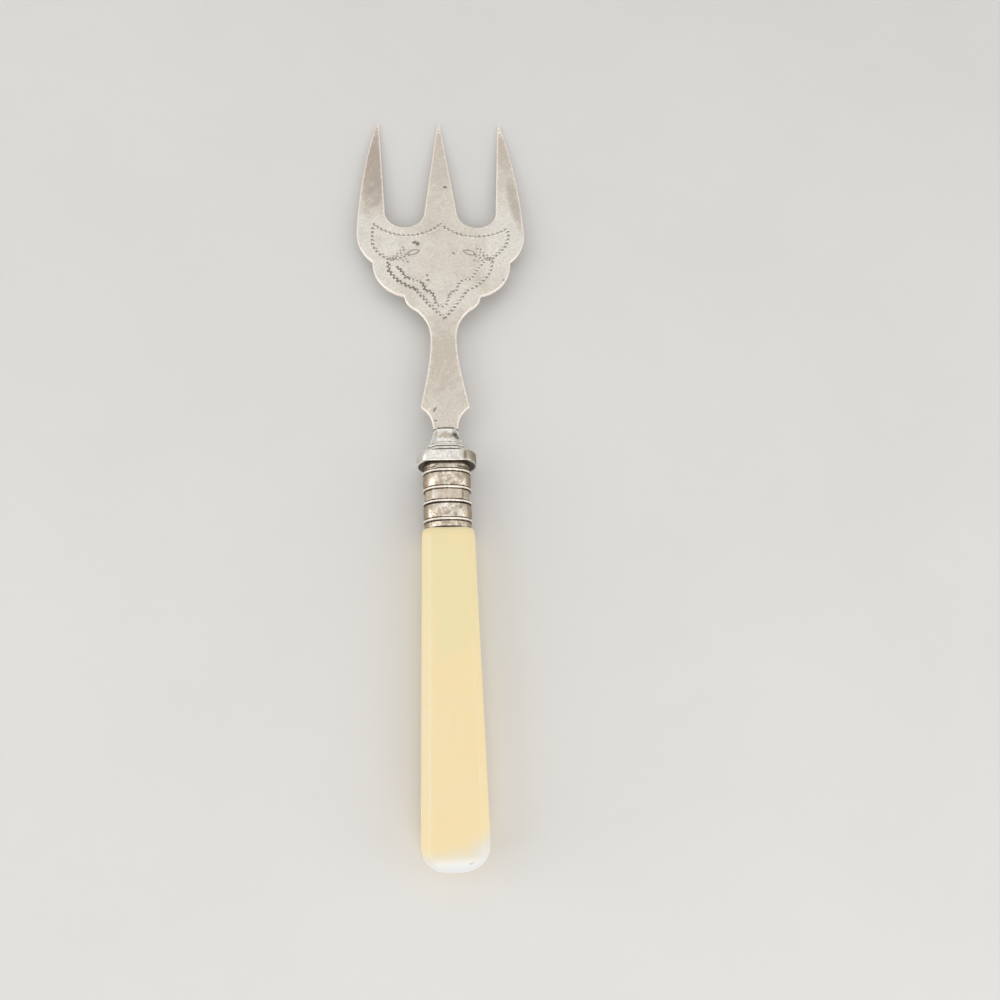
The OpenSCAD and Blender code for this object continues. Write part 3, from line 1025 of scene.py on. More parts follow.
class EngravingTree(ShapeTree):
    """Geometry Nodes that cut dark lozenge strokes and lozenge strokes with a painted highlight by turns
    along lines on a plate.
    """

    PROUD = 0.05
    DRIFT = 0.35
    UNEVENNESS = 0.15

    def __init__(self) -> None:
        """Builds the tree."""
        super().__init__("engraved_strokes", {
            "Plate": ("Geometry", None), "Lines": ("Object", None), "Pitch": ("Float", 0.0004),
            "Stroke length": ("Float", 0.0008), "Stroke width": ("Float", 0.0002),
            "Stroke depth": ("Float", 0.0001), "Lean": ("Float", 1.0), "Across": ("Float", 0.0001),
            "Bright": ("Float", 1.0), "Unevenness": ("Float", 0.2), "Seed": ("Int", 1),
            "Cut finish": ("Material", None), "Bright finish": ("Material", None),
            "Plate finish": ("Material", None)}, "Plate")
        given = self.given
        odd = self.math("MODULO", self.result("GeometryNodeInputIndex"), 2.0)
        side = self.minus(self.times(odd, 2.0), 1.0)
        bright = self.times(odd, given["Bright"])
        points, turns, sizes = self._rows(side), self._turns(side), self._sizes()
        cut = self.add(
            "GeometryNodeMeshBoolean", {"Mesh 1": given["Plate"]}, operation="DIFFERENCE", solver="MANIFOLD")
        walls = []
        for name, chosen in (("Cut finish", self.minus(1.0, bright)), ("Bright finish", bright)):
            strokes = self.result("GeometryNodeInstanceOnPoints", {
                "Points": points, "Selection": chosen, "Instance": self._stroke(given[name]),
                "Rotation": turns, "Scale": sizes})
            self.feed(cut, {"Mesh 2": strokes})
            walls.append(self.result("GeometryNodeMaterialSelection", {"Material": given[name]}))
        whole = self.result("GeometryNodeRealizeInstances", {"Geometry": cut.outputs["Mesh"]})
        face = self.result("FunctionNodeBooleanMath", {0: walls[0], 1: walls[1]}, operation="NOR")
        self.close(self.result("GeometryNodeSetMaterial", {
            "Geometry": whole, "Selection": face, "Material": given["Plate finish"]}))

    def _rows(self, side: Socket) -> Socket:
        """Spaces points evenly along the lines, shifted to the left and the right by turns.

        Args:
            side: 1 and -1 by turns along a line.

        Returns:
            The points.
        """
        lines = self.add("GeometryNodeObjectInfo", {"Object": self.given["Lines"]})
        curves = self.result("GeometryNodeMeshToCurve", {"Mesh": lines.outputs["Geometry"]})
        even = self.result(
            "GeometryNodeResampleCurve", {"Curve": curves, "Length": self.given["Pitch"]}, mode="LENGTH")
        right = self.vector("CROSS_PRODUCT", self.result("GeometryNodeInputTangent"), (0.0, 0.0, 1.0))
        shift = self.vector("SCALE", right, scale=self.times(side, self.given["Across"]))
        return self.result("GeometryNodeSetPosition", {"Geometry": even, "Offset": shift})

    def _stroke(self, finish: Socket) -> Socket:
        """Makes one lozenge stroke: a four-sided point that faces down.

        Args:
            finish: Finish of its walls.

        Returns:
            The stroke.
        """
        proud, depth = self.PROUD * MM, self.given["Stroke depth"]
        whole_depth = self.plus(depth, proud)
        spread = self.math("DIVIDE", whole_depth, self.times(depth, 2.0))
        half_width = self.times(self.given["Stroke width"], spread)
        half_length = self.times(self.given["Stroke length"], spread)
        point = self.result("GeometryNodeMeshCone", {
            "Vertices": 4, "Radius Top": 0.0, "Radius Bottom": 1.0, "Depth": 1.0})
        down = self.result("GeometryNodeTransform", {"Geometry": point, "Rotation": (math.pi, 0.0, 0.0)})
        shaped = self.result("GeometryNodeTransform", {
            "Geometry": down, "Translation": (0.0, 0.0, proud),
            "Scale": self.join(half_width, half_length, whole_depth)})
        return self.result("GeometryNodeSetMaterial", {"Geometry": shaped, "Material": finish})

    def _turns(self, side: Socket) -> Socket:
        """Turns the strokes along their line and leans them to one side and the other by turns.

        Args:
            side: 1 and -1 by turns along a line.

        Returns:
            The turn of each stroke.
        """
        way = self.parts(self.result("GeometryNodeInputTangent"))
        along = self.minus(self.math("ARCTAN2", way["Y"], way["X"]), math.pi / 2)
        drift = self.add("FunctionNodeRandomValue", {
            "Min": -self.DRIFT, "Max": self.DRIFT, "Seed": self.given["Seed"]})
        lean = self.plus(self.times(side, self.given["Lean"]), drift.outputs["Value"])
        return self.result("FunctionNodeAxisAngleToRotation", {
            "Axis": (0.0, 0.0, 1.0), "Angle": self.plus(along, lean)})

    def _sizes(self) -> Socket:
        """Makes each stroke a little larger or smaller than the last.

        Returns:
            The size of each stroke.
        """
        uneven = self.given["Unevenness"]
        chance = self.add("FunctionNodeRandomValue", {
            "Min": self.minus(1.0, uneven), "Max": self.plus(1.0, uneven),
            "Seed": self.plus(self.given["Seed"], 7.0)})
        return self.times(self.carried("bold"), chance.outputs["Value"])

    def engrave(self, plate: bpy.types.Object, lines: bpy.types.Object, style: StrokeStyle,
                finishes: BladeFinishes) -> None:
        """Cuts one style of lines into a plate.

        Args:
            plate: The plate.
            lines: The lines, as loose edges with a bold value.
            style: Sizes of the strokes.
            finishes: Finishes of the plate and of the strokes' walls.
        """
        self.attach(plate, style.name, {
            "Lines": lines, "Pitch": style.pitch * MM, "Stroke length": style.length * MM,
            "Stroke width": style.width * MM, "Stroke depth": style.depth * MM,
            "Lean": math.radians(style.lean_deg), "Across": style.across * MM, "Bright": style.bright,
            "Unevenness": self.UNEVENNESS, "Seed": style.seed, "Cut finish": finishes.cut,
            "Bright finish": finishes.bright, "Plate finish": finishes.face})


@dataclass
class Blade:
    """The stamped plate: tines, scalloped palm and waisted stem, with rounded edges and engraving."""

    CHUNK = 500
    foot_t: float = 1.2
    tip_t: float = 0.7
    edge_round: float = 0.3
    edge_shares: tuple[float, ...] = (0.08, 0.28, 0.58, 1.0)
    outline_step: float = 0.4
    face_step: float = 0.9
    # Reach of the rim's wear and painted highlight.
    rim_wear_and_highlight_reach: float = 0.36
    neck_w: float = NECK_W
    # Painted shade in the corner at the bolster's neck: how far it reaches on the middle line, where it
    # starts and how fast it fades.
    joint_shade_depth: float = 0.55
    joint_shade_start: float = 0.15
    joint_shade_fade: float = 0.25
    tenon_w: float = 4.0
    tenon_t: float = 0.8
    tenon_len: float = 3.2

    def __post_init__(self) -> None:
        """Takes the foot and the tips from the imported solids."""
        self.foot_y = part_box("bolster")[1].y / MM
        self.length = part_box("fork_blade")[1].y / MM - self.foot_y
        self.foot_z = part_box("fork_blade")[1].z / MM

    def height(self, y: np.ndarray, top: bool) -> np.ndarray:
        """Height of the upper or lower face, which curves down from the foot to the tips.

        Args:
            y: Places along the fork.
            top: True for the upper face.

        Returns:
            The heights.
        """
        start = self.foot_z if top else self.foot_z - self.foot_t
        drop = start - (self.tip_t if top else 0.0)
        radius = (self.length ** 2 + drop ** 2) / (2 * drop)
        return start - radius + np.sqrt(radius ** 2 - np.clip(y - self.foot_y, 0, self.length) ** 2)

    def outline(self) -> np.ndarray:
        """Reads the plate's plan from the rim of the solid's upper face.

        Returns:
            Points counter-clockwise, closely spaced.
        """
        body = bmesh.new()
        body.from_mesh(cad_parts["fork_blade"].data)
        bmesh.ops.remove_doubles(body, verts=body.verts, dist=1e-6)
        body.normal_update()
        upper = {f for f in body.faces if f.normal.z > 0.8 and f.calc_center_median().y > self.foot_y * MM}
        ways: dict[int, list[int]] = {}
        for edge in body.edges:
            if sum(f in upper for f in edge.link_faces) == 1:
                a, b = (v.index for v in edge.verts)
                ways.setdefault(a, []).append(b)
                ways.setdefault(b, []).append(a)
        body.verts.ensure_lookup_table()
        first = min(ways)
        loop, last = [first], -1
        while True:
            here = loop[-1]
            after = next(n for n in ways[here] if n != last)
            if after == first:
                break
            loop.append(after)
            last = here
        corners = np.array([body.verts[i].co[:2] for i in loop]) / MM
        body.free()
        after = np.roll(corners, -1, axis=0)
        if np.sum(corners[:, 0] * after[:, 1] - after[:, 0] * corners[:, 1]) < 0:
            corners = corners[::-1]
        points = []
        for start, end in zip(corners, np.roll(corners, -1, axis=0)):
            count = max(math.ceil(np.linalg.norm(end - start) / self.outline_step), 1)
            points.extend(start + (end - start) * i / count for i in range(count))
        return np.array(points)

    @staticmethod
    def rim_distance(points: np.ndarray, rim: np.ndarray) -> tuple[np.ndarray, np.ndarray]:
        """Measures how far points lie from a closed outline, and which lie inside it.

        Args:
            points: Points in plan.
            rim: The outline.

        Returns:
            The distances, and True for each point inside.
        """
        a, b = rim, np.roll(rim, -1, axis=0)
        way = b - a
        square = np.sum(way ** 2, axis=1)
        distance = np.empty(len(points))
        inside = np.empty(len(points), bool)
        for i in range(0, len(points), Blade.CHUNK):
            chosen = slice(i, i + Blade.CHUNK)
            part = points[chosen, None, :]
            share = np.clip(np.sum((part - a) * way, axis=2) / square, 0, 1)
            off = part - a - share[..., None] * way
            distance[chosen] = np.sqrt(np.min(np.sum(off ** 2, axis=2), axis=1))
            crosses = (a[:, 1] > part[..., 1]) != (b[:, 1] > part[..., 1])
            rise = np.where(way[:, 1] == 0, 1e-12, way[:, 1])
            right = part[..., 0] < a[:, 0] + (part[..., 1] - a[:, 1]) / rise * way[:, 0]
            inside[chosen] = np.sum(crosses & right, axis=1) % 2 == 1
        return distance, inside

    def plan_points(self, rim: np.ndarray) -> np.ndarray:
        """Spreads points over the plate: rows that follow the rim, then a grid.

        Args:
            rim: The outline.

        Returns:
            The inner points in plan.
        """
        before, after = rim - np.roll(rim, 1, axis=0), np.roll(rim, -1, axis=0) - rim
        before /= np.linalg.norm(before, axis=1)[:, None]
        after /= np.linalg.norm(after, axis=1)[:, None]
        way = before + after
        way /= np.linalg.norm(way, axis=1)[:, None]
        inwards = np.column_stack([-way[:, 1], way[:, 0]])
        stretch = 1 / np.clip(np.sum(inwards * np.column_stack([-after[:, 1], after[:, 0]]), axis=1), 0.5, 1)
        rows = []
        for share in self.edge_shares:
            inset = share * self.edge_round
            row = rim + inwards * (inset * stretch)[:, None]
            distance, inside = self.rim_distance(row, rim)
            rows.append(row[inside & (distance > 0.9 * inset)])
        low, high = rim.min(axis=0), rim.max(axis=0)
        step_y = self.face_step * math.sqrt(3) / 2
        grid = []
        for k, y in enumerate(np.arange(low[1], high[1], step_y)):
            xs = np.arange(low[0] + (k % 2) * self.face_step / 2, high[0], self.face_step)
            grid.append(np.column_stack([xs, np.full(len(xs), y)]))
        spread = np.concatenate(grid)
        distance, inside = self.rim_distance(spread, rim)
        return np.concatenate([*rows, spread[inside & (distance > 1.7 * self.edge_round)]])

    def plate(self) -> bpy.types.Object:
        """Builds the plate with rounded edges.

        Returns:
            The plate as a closed body, with its worn edges and painted rim highlight, and the painted shade
            at the foot, stored on its points.
        """
        rim = self.outline()
        spread = np.concatenate([rim, self.plan_points(rim)])
        places, _, faces, origins, _, _ = delaunay_2d_cdt(
            [Vector(p) for p in spread], [], [list(range(len(rim)))], 1, 1e-7)
        plan = np.array([tuple(p) for p in places])
        place_of = {old: new for new, olds in enumerate(origins) for old in olds}
        distance, _ = self.rim_distance(plan, rim)
        distance[[place_of[i] for i in range(len(rim))]] = 0.0
        inner = self.edge_round - np.minimum(distance, self.edge_round)
        drop = self.edge_round - np.sqrt(self.edge_round ** 2 - inner ** 2)
        upper = np.column_stack([plan, self.height(plan[:, 1], True) - drop])
        lower = np.column_stack([plan, self.height(plan[:, 1], False) + drop])
        count = len(plan)
        polygons = [list(f) for f in faces] + [[i + count for i in reversed(f)] for f in faces]
        for i in range(len(rim)):
            a, b = place_of[i], place_of[(i + 1) % len(rim)]
            polygons.append([a + count, b + count, b, a])
        plate = new_object("fork_blade_plate", np.concatenate([upper, lower]), polygons)
        # The rim's share is partly wear and partly a painted highlight.
        rub = np.exp(-(distance / self.rim_wear_and_highlight_reach) ** 2)
        set_attribute(plate, "rub", np.concatenate([rub, rub]))
        # Painted shade in the corner at the bolster's neck.
        set_attribute(plate, "grime", np.tile(self.foot_joint_shade(plan), 2))
        point_outwards(plate)
        return plate

    def foot_joint_shade(self, plan: np.ndarray) -> np.ndarray:
        """Share of the painted shade in the corner between the plate and the higher neck of the bolster.

        Args:
            plan: Points in plan.

        Returns:
            The share at each point, deepest on the middle line.
        """
        half_w, rise = self.neck_w / 2, self.joint_shade_depth
        reach = rise * np.sqrt(np.clip(1 - (plan[:, 0] / half_w) ** 2, 0, 1)) + self.joint_shade_start
        return np.clip(1.5 - (plan[:, 1] - self.foot_y - reach) / self.joint_shade_fade, 0, 1)

    def tenon(self) -> bpy.types.Object:
        """Makes the tenon that sits in the bolster."""
        span = (self.foot_y - self.tenon_len, self.foot_y + OVERLAP)
        return prism("tenon", span, oblong(self.tenon_w, self.tenon_t), self.foot_z - self.foot_t / 2)

    def lines(self, name: str, drawn: list[EngravedLine]) -> bpy.types.Object:
        """Lays engraved lines on the upper face, as loose edges.

        Args:
            name: Name of the helper object.
            drawn: The lines in plan.

        Returns:
            The helper object, with each line's boldness on its points.
        """
        points, edges, bold = [], [], []
        for line in drawn:
            plan = line.points() + np.array([0.0, self.foot_y])
            edges.extend((len(bold) + i, len(bold) + i + 1) for i in range(len(plan) - 1))
            points.extend(zip(plan[:, 0], plan[:, 1], self.height(plan[:, 1], True)))
            bold.extend([line.bold] * len(plan))
        helper = new_object(name, np.array(points), [], edges)
        set_attribute(helper, "bold", np.array(bold))
        return helper

    def build(self, engraving: "Engraving", finishes: BladeFinishes) -> bpy.types.Object:
        """Builds, engraves and dresses the blade.

        Args:
            engraving: The lines to cut.
            finishes: Finishes of the plate and of the strokes' walls.

        Returns:
            The finished piece.
        """
        plate = self.plate()
        plate.data.materials.append(finishes.face)
        carve(plate, self.tenon(), Carving.JOIN)
        for finish in (finishes.cut, finishes.bright):
            plate.data.materials.append(finish)
        tree = EngravingTree()
        helpers = []
        for style, drawn in engraving.layers():
            helper = self.lines(style.name, drawn)
            tree.engrave(plate, helper, style, finishes)
            helpers.append(helper)
        settle(plate)
        for helper in helpers:
            bpy.data.objects.remove(helper)
        shade(plate, 24.0)
        present(plate, "fork_blade")
        return plate


@dataclass
class Engraving:
    """Wriggle-work border, scalloped inner line and a pair of leaf sprigs on the palm."""

    border: StrokeStyle = StrokeStyle("border_strokes", 0.7, 1.1, 0.82, 0.16, 40.0, 0.22, 1.0, 3)
    inner: StrokeStyle = StrokeStyle("inner_strokes", 0.62, 1.05, 0.62, 0.14, 62.0, 0.14, 1.0, 11)
    sprig: StrokeStyle = StrokeStyle("sprig_strokes", 0.66, 0.85, 0.7, 0.13, 10.0, 0.34, 0.0, 23)
    leaf: StrokeStyle = StrokeStyle("leaf_strokes", 0.36, 0.75, 0.48, 0.1, 0.0, 0.0, 0.0, 31)
    corner: Place = (19.9, 66.8)
    apex: Place = (-0.1, 67.7)
    upper_sag: float = 3.8
    leaf_middle: Place = (8.2, 57.5)
    leaf_len: float = 3.8
    leaf_w: float = 1.5
    leaf_turn_deg: float = -21.0
    sprig_root: Place = (14.8, 55.0)
    sprig_ends: tuple[Place, ...] = ((10.9, 59.1), (9.6, 56.7), (9.7, 54.5))
    sprig_bend: float = 0.35

    def borders(self) -> list[EngravedLine]:
        """Outer border: two sagging arcs over the top, then the scallops down each side.

        Returns:
            The lines.
        """
        x, y = self.corner
        top_left = EngravedLine((-x, y + 0.8), ((*self.apex, -self.upper_sag - 0.4),))
        top_right = EngravedLine(self.apex, ((x, y - 0.5, -self.upper_sag),))
        left = EngravedLine((0.4, 35.1), (
            (-7.5, 44.7, 0.4), (-15.3, 51.1, 1.0), (-15.5, 55.3, 0.0), (-20.0, 61.0, 0.9), (-x, y, 0.0)), 1.1)
        right = EngravedLine((x, y - 1.5), (
            (19.0, 60.3, 0.3), (15.1, 55.9, 0.2), (14.2, 51.5, 0.0), (6.9, 44.3, 1.0), (0.6, 35.3, 0.2)))
        return [top_left, top_right, left, right]

    def inner_lines(self) -> list[EngravedLine]:
        """Inner line: stepped scallops that meet low on the middle line.

        Returns:
            The lines.
        """
        left = EngravedLine((0.0, 38.9), (
            (-1.9, 40.0, 0.3), (-3.0, 43.4, -0.2), (-5.0, 44.3, -0.2), (-6.7, 47.5, -0.5),
            (-10.6, 48.6, -0.2), (-13.0, 52.2, -0.4)), 1.1)
        right = EngravedLine((12.3, 54.1), (
            (8.4, 48.2, -0.3), (5.7, 47.7, -0.2), (4.0, 44.1, -0.4), (2.3, 43.4, -0.2), (1.2, 39.9, -0.2),
            (0.0, 38.9, 0.2)))
        return [left, right]

    def sprigs(self) -> list[EngravedLine]:
        """Rows of ticks that fan out from each sprig's root."""
        rows = [EngravedLine(self.sprig_root, ((*end, self.sprig_bend * (1 - k)),))
                for k, end in enumerate(self.sprig_ends)]
        return rows + [row.mirrored() for row in rows]

    def leaves(self) -> list[EngravedLine]:
        """A pointed leaf at the head of each sprig.

        Returns:
            The lines.
        """
        turn = math.radians(self.leaf_turn_deg)
        reach = np.array([math.cos(turn), math.sin(turn)]) * self.leaf_len / 2
        root, tip = np.array(self.leaf_middle) + reach, np.array(self.leaf_middle) - reach
        half = self.leaf_w / 2
        leaf = EngravedLine(tuple(root), ((*tip, half), (*root, half)))
        return [leaf, leaf.mirrored()]

    def layers(self) -> list[tuple[StrokeStyle, list[EngravedLine]]]:
        """Every style with its lines, in cutting order."""
        return [(self.border, self.borders()), (self.inner, self.inner_lines()),
                (self.sprig, self.sprigs()), (self.leaf, self.leaves())]


# Bolster


@dataclass(frozen=True)
class Moulding:
    """A turned bead or groove on the cone: where it starts above the collar, its length and its rise."""

    start: float
    length: float
    rise: float

    def lift(self, up: float) -> float:
        """Rise at a height above the collar."""
        share = (up - self.start) / self.length
        return self.rise * math.sin(math.pi * share) if 0 < share < 1 else 0.0


@dataclass
class Bolster:
    """The casting below the blade: trumpet cone with turned lines, and a collar with round shoulders."""

    collar_w: float = 15.7
    collar_t: float = 11.0
    collar_len: float = 3.0
    collar_cut: float = 2.6
    collar_drop: float = 4.2
    collar_power: float = 1.4
    collar_round: float = 0.3
    neck_w: float = NECK_W
    neck_t: float = 5.0
    neck_round: float = 0.3
    cone_w: float = 13.2
    cone_t: float = 9.2
    cone_power: float = 1.7
    squareness: float = 2.6
    mouldings: tuple[Moulding, ...] = (
        Moulding(0.0, 0.5, 0.14), Moulding(0.45, 0.4, -0.14), Moulding(0.85, 0.75, 0.05),
        Moulding(1.5, 0.4, -0.14), Moulding(1.9, 0.5, 0.1), Moulding(2.85, 0.3, -0.08))
    shaded_band: tuple[float, float] = (0.5, 1.8)
    band_shade: float = 0.3
    groove_full: float = 0.13
    ring_step: float = 0.06
    # Worn-bright rounded edges of the collar and the neck, with a painted highlight.
    edge_wear_and_highlight: float = 0.55
    neck_wear_and_highlight: float = 0.75
    tang_d: float = 3.6
    web: float = 1.0

    def __post_init__(self) -> None:
        """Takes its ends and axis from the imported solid."""
        self.collar_y, self.foot_y, self.axis_z = solid_span("bolster")
        self.cone_y = self.collar_y + self.collar_len
        self.cone_len = self.foot_y - self.cone_y

    def collar_ring(self, inset: float) -> np.ndarray:
        """Collar's outline: flat above and below, with a rounded shoulder at each corner.

        Args:
            inset: How far it is drawn in.

        Returns:
            The points in order.
        """
        turns = np.radians(np.linspace(0, 90, 13))
        bend = 2 / self.collar_power
        across = self.collar_w / 2 - inset - self.collar_cut * (1 - np.abs(np.cos(turns)) ** bend)
        high = self.collar_t / 2 - inset - self.collar_drop * (1 - np.sin(turns) ** bend)
        corner = np.column_stack([across, high])
        top = np.column_stack([np.linspace(across[-1], 0, 9)[1:], np.full(8, high[-1])])
        side = np.column_stack([np.full(3, across[0]), np.linspace(0, high[0], 4)[:-1]])
        quarter = np.concatenate([side, corner, top])
        half = np.concatenate([quarter, quarter[-2:0:-1] * (-1, 1)])
        return np.concatenate([half, -half])

    def cone_ring(self, up: float, inset: float) -> np.ndarray:
        """Cone's outline.

        Args:
            up: Height above the collar.
            inset: How far it is drawn in.

        Returns:
            The points in order.
        """
        spread = (1 - up / self.cone_len) ** self.cone_power
        lift = sum(m.lift(up) for m in self.mouldings) - inset
        width = self.neck_w + (self.cone_w - self.neck_w) * spread + 2 * lift
        thickness = self.neck_t + (self.cone_t - self.neck_t) * spread + 2 * lift
        return oval_on(self.collar_ring(0.0), width, thickness, self.squareness)

    def rings(self) -> list[Ring]:
        """Cross-sections from the collar's lower face to the neck.

        Returns:
            The rings in order.
        """
        steps = [math.radians(90 * i / 4) for i in range(5)]
        rise = self.collar_round
        rings = [Ring(self.collar_y, self.collar_ring(rise + 0.2), 0.0, 1.0)]
        for face_y, way, angles in ((self.collar_y, 1, steps), (self.cone_y, -1, steps[::-1])):
            for angle in angles:
                outline = self.collar_ring(rise * (1 - math.sin(angle)))
                # The collar's rounded edges are worn bright, with a painted highlight.
                rub = 0.0 if angle == steps[-1] else self.edge_wear_and_highlight
                rings.append(Ring(face_y + way * rise * (1 - math.cos(angle)), outline, rub))
        rings.append(Ring(self.cone_y, self.cone_ring(0.0, -0.15), 0.0, 0.9))
        for up in np.arange(0.05, self.cone_len - self.neck_round, self.ring_step):
            groove = max(-m.lift(up) / self.groove_full for m in self.mouldings)
            shaded = self.band_shade if self.shaded_band[0] < up < self.shaded_band[1] else 0.0
            outline = self.cone_ring(up, 0.0)
            # The cone's left and right flanks get a painted highlight.
            sides = (np.abs(outline[:, 0]) / outline[:, 0].max()) ** 4
            rings.append(Ring(self.cone_y + up, outline, sides, max(groove, shaded)))
        for angle in steps:
            up = self.cone_len - self.neck_round * (1 - math.sin(angle))
            outline = self.cone_ring(up, self.neck_round * (1 - math.cos(angle)))
            # The neck's rounded rim is worn bright, with a painted highlight.
            rings.append(Ring(self.cone_y + up, outline, self.neck_wear_and_highlight))
        return rings

    def build(self, blade: Blade, finish: bpy.types.Material) -> bpy.types.Object:
        """Builds and dresses the bolster.

        Args:
            blade: The blade, whose tenon sits in it.
            finish: Its finish.

        Returns:
            The finished piece.
        """
        piece = skin("bolster_casting", self.rings(), self.axis_z)
        piece.data.materials.append(finish)
        tenon_y = self.foot_y - blade.tenon_len
        span = (self.collar_y - OVERLAP, tenon_y - self.web)
        carve(piece, prism("tang_socket", span, circle(self.tang_d + 2 * FIT), self.axis_z), Carving.CUT)
        slot = oblong(blade.tenon_w + 2 * FIT, blade.tenon_t + 2 * FIT)
        span = (tenon_y - FIT, self.foot_y + OVERLAP)
        carve(piece, prism("tenon_slot", span, slot, self.axis_z), Carving.CUT)
        shade(piece, 40.0)
        present(piece, "bolster")
        return piece


# Ferrule


class RibbedTubeTree(ShapeTree):
    """Geometry Nodes that sweep a ribbed wall round an eight-sided path, round it over and dent it."""

    def __init__(self) -> None:
        """Builds the tree."""
        super().__init__("ribbed_tube", {
            "Path": ("Geometry", None), "Section": ("Object", None), "Start": ("Vector", None),
            "Half width": ("Float", 0.006), "Half thickness": ("Float", 0.0045), "Squareness": ("Float", 2.2),
            "Dent scale": ("Float", 300.0), "Dent depth": ("Float", 0.00005), "Seed": ("Float", 3.0),
            "Finish": ("Material", None)}, "Tube")
        given = self.given
        path = self.result("GeometryNodeMeshToCurve", {"Mesh": given["Path"]})
        path = self.result("GeometryNodeSetCurveNormal", {"Curve": path}, mode="Z_UP")
        section = self.add("GeometryNodeObjectInfo", {"Object": given["Section"]})
        profile = self.result("GeometryNodeMeshToCurve", {"Mesh": section.outputs["Geometry"]})
        tube = self.result("GeometryNodeCurveToMesh", {"Curve": path, "Profile Curve": profile})
        tube = self.result("GeometryNodeSetPosition", {"Geometry": tube, "Position": self._oval()})
        tube = self.result("GeometryNodeSetPosition", {"Geometry": tube, "Offset": self._dents()})
        tube = self.result("GeometryNodeTransform", {
            "Geometry": tube, "Translation": given["Start"], "Rotation": (math.pi / 2, 0.0, 0.0)})
        tube = self.result("GeometryNodeRealizeInstances", {"Geometry": tube})
        self.close(self.result("GeometryNodeSetMaterial", {"Geometry": tube, "Material": given["Finish"]}))

    def _oval(self) -> Socket:
        """Moves the points of oval bands from the path's flats onto an oval grown by their rise.

        Returns:
            The new places of the points.
        """
        place = self.result("GeometryNodeInputPosition")
        way = self.vector("NORMALIZE", self.vector("MULTIPLY", place, (1.0, 1.0, 0.0)))
        parts, rise = self.parts(way), self.carried("rise")
        squareness = self.given["Squareness"]
        total: Socket | float = 0.0
        for axis, half in (("X", "Half width"), ("Y", "Half thickness")):
            share = self.math("DIVIDE", self.math("ABSOLUTE", parts[axis]), self.plus(self.given[half], rise))
            total = self.plus(self.math("POWER", share, squareness), total)
        radius = self.math("POWER", total, self.math("DIVIDE", -1.0, squareness))
        high = self.vector("MULTIPLY", place, (0.0, 0.0, 1.0))
        oval = self.vector("ADD", self.vector("SCALE", way, scale=radius), high)
        mixed = self.add("ShaderNodeMix", {0: self.carried("oval"), 4: place, 5: oval}, data_type="VECTOR")
        return mixed.outputs[1]

    def _dents(self) -> Socket:
        """Pushes the outer skin in and out by a slow noise.

        Returns:
            The way that each point moves.
        """
        apart = self.join(self.given["Seed"], 0.0, 0.0)
        place = self.vector("ADD", self.result("GeometryNodeInputPosition"), apart)
        noise = self.noise(place, self.given["Dent scale"], 2.0)
        depth = self.times(self.minus(noise, 0.5), self.given["Dent depth"])
        depth = self.times(depth, self.carried("outer"))
        return self.vector("SCALE", self.result("GeometryNodeInputNormal"), scale=depth)


@dataclass(frozen=True)
class Band:
    """One band of the ferrule, from the handle up: its length, how far it swells and whether it has flats."""

    length: float
    rise: float
    flats: bool = False


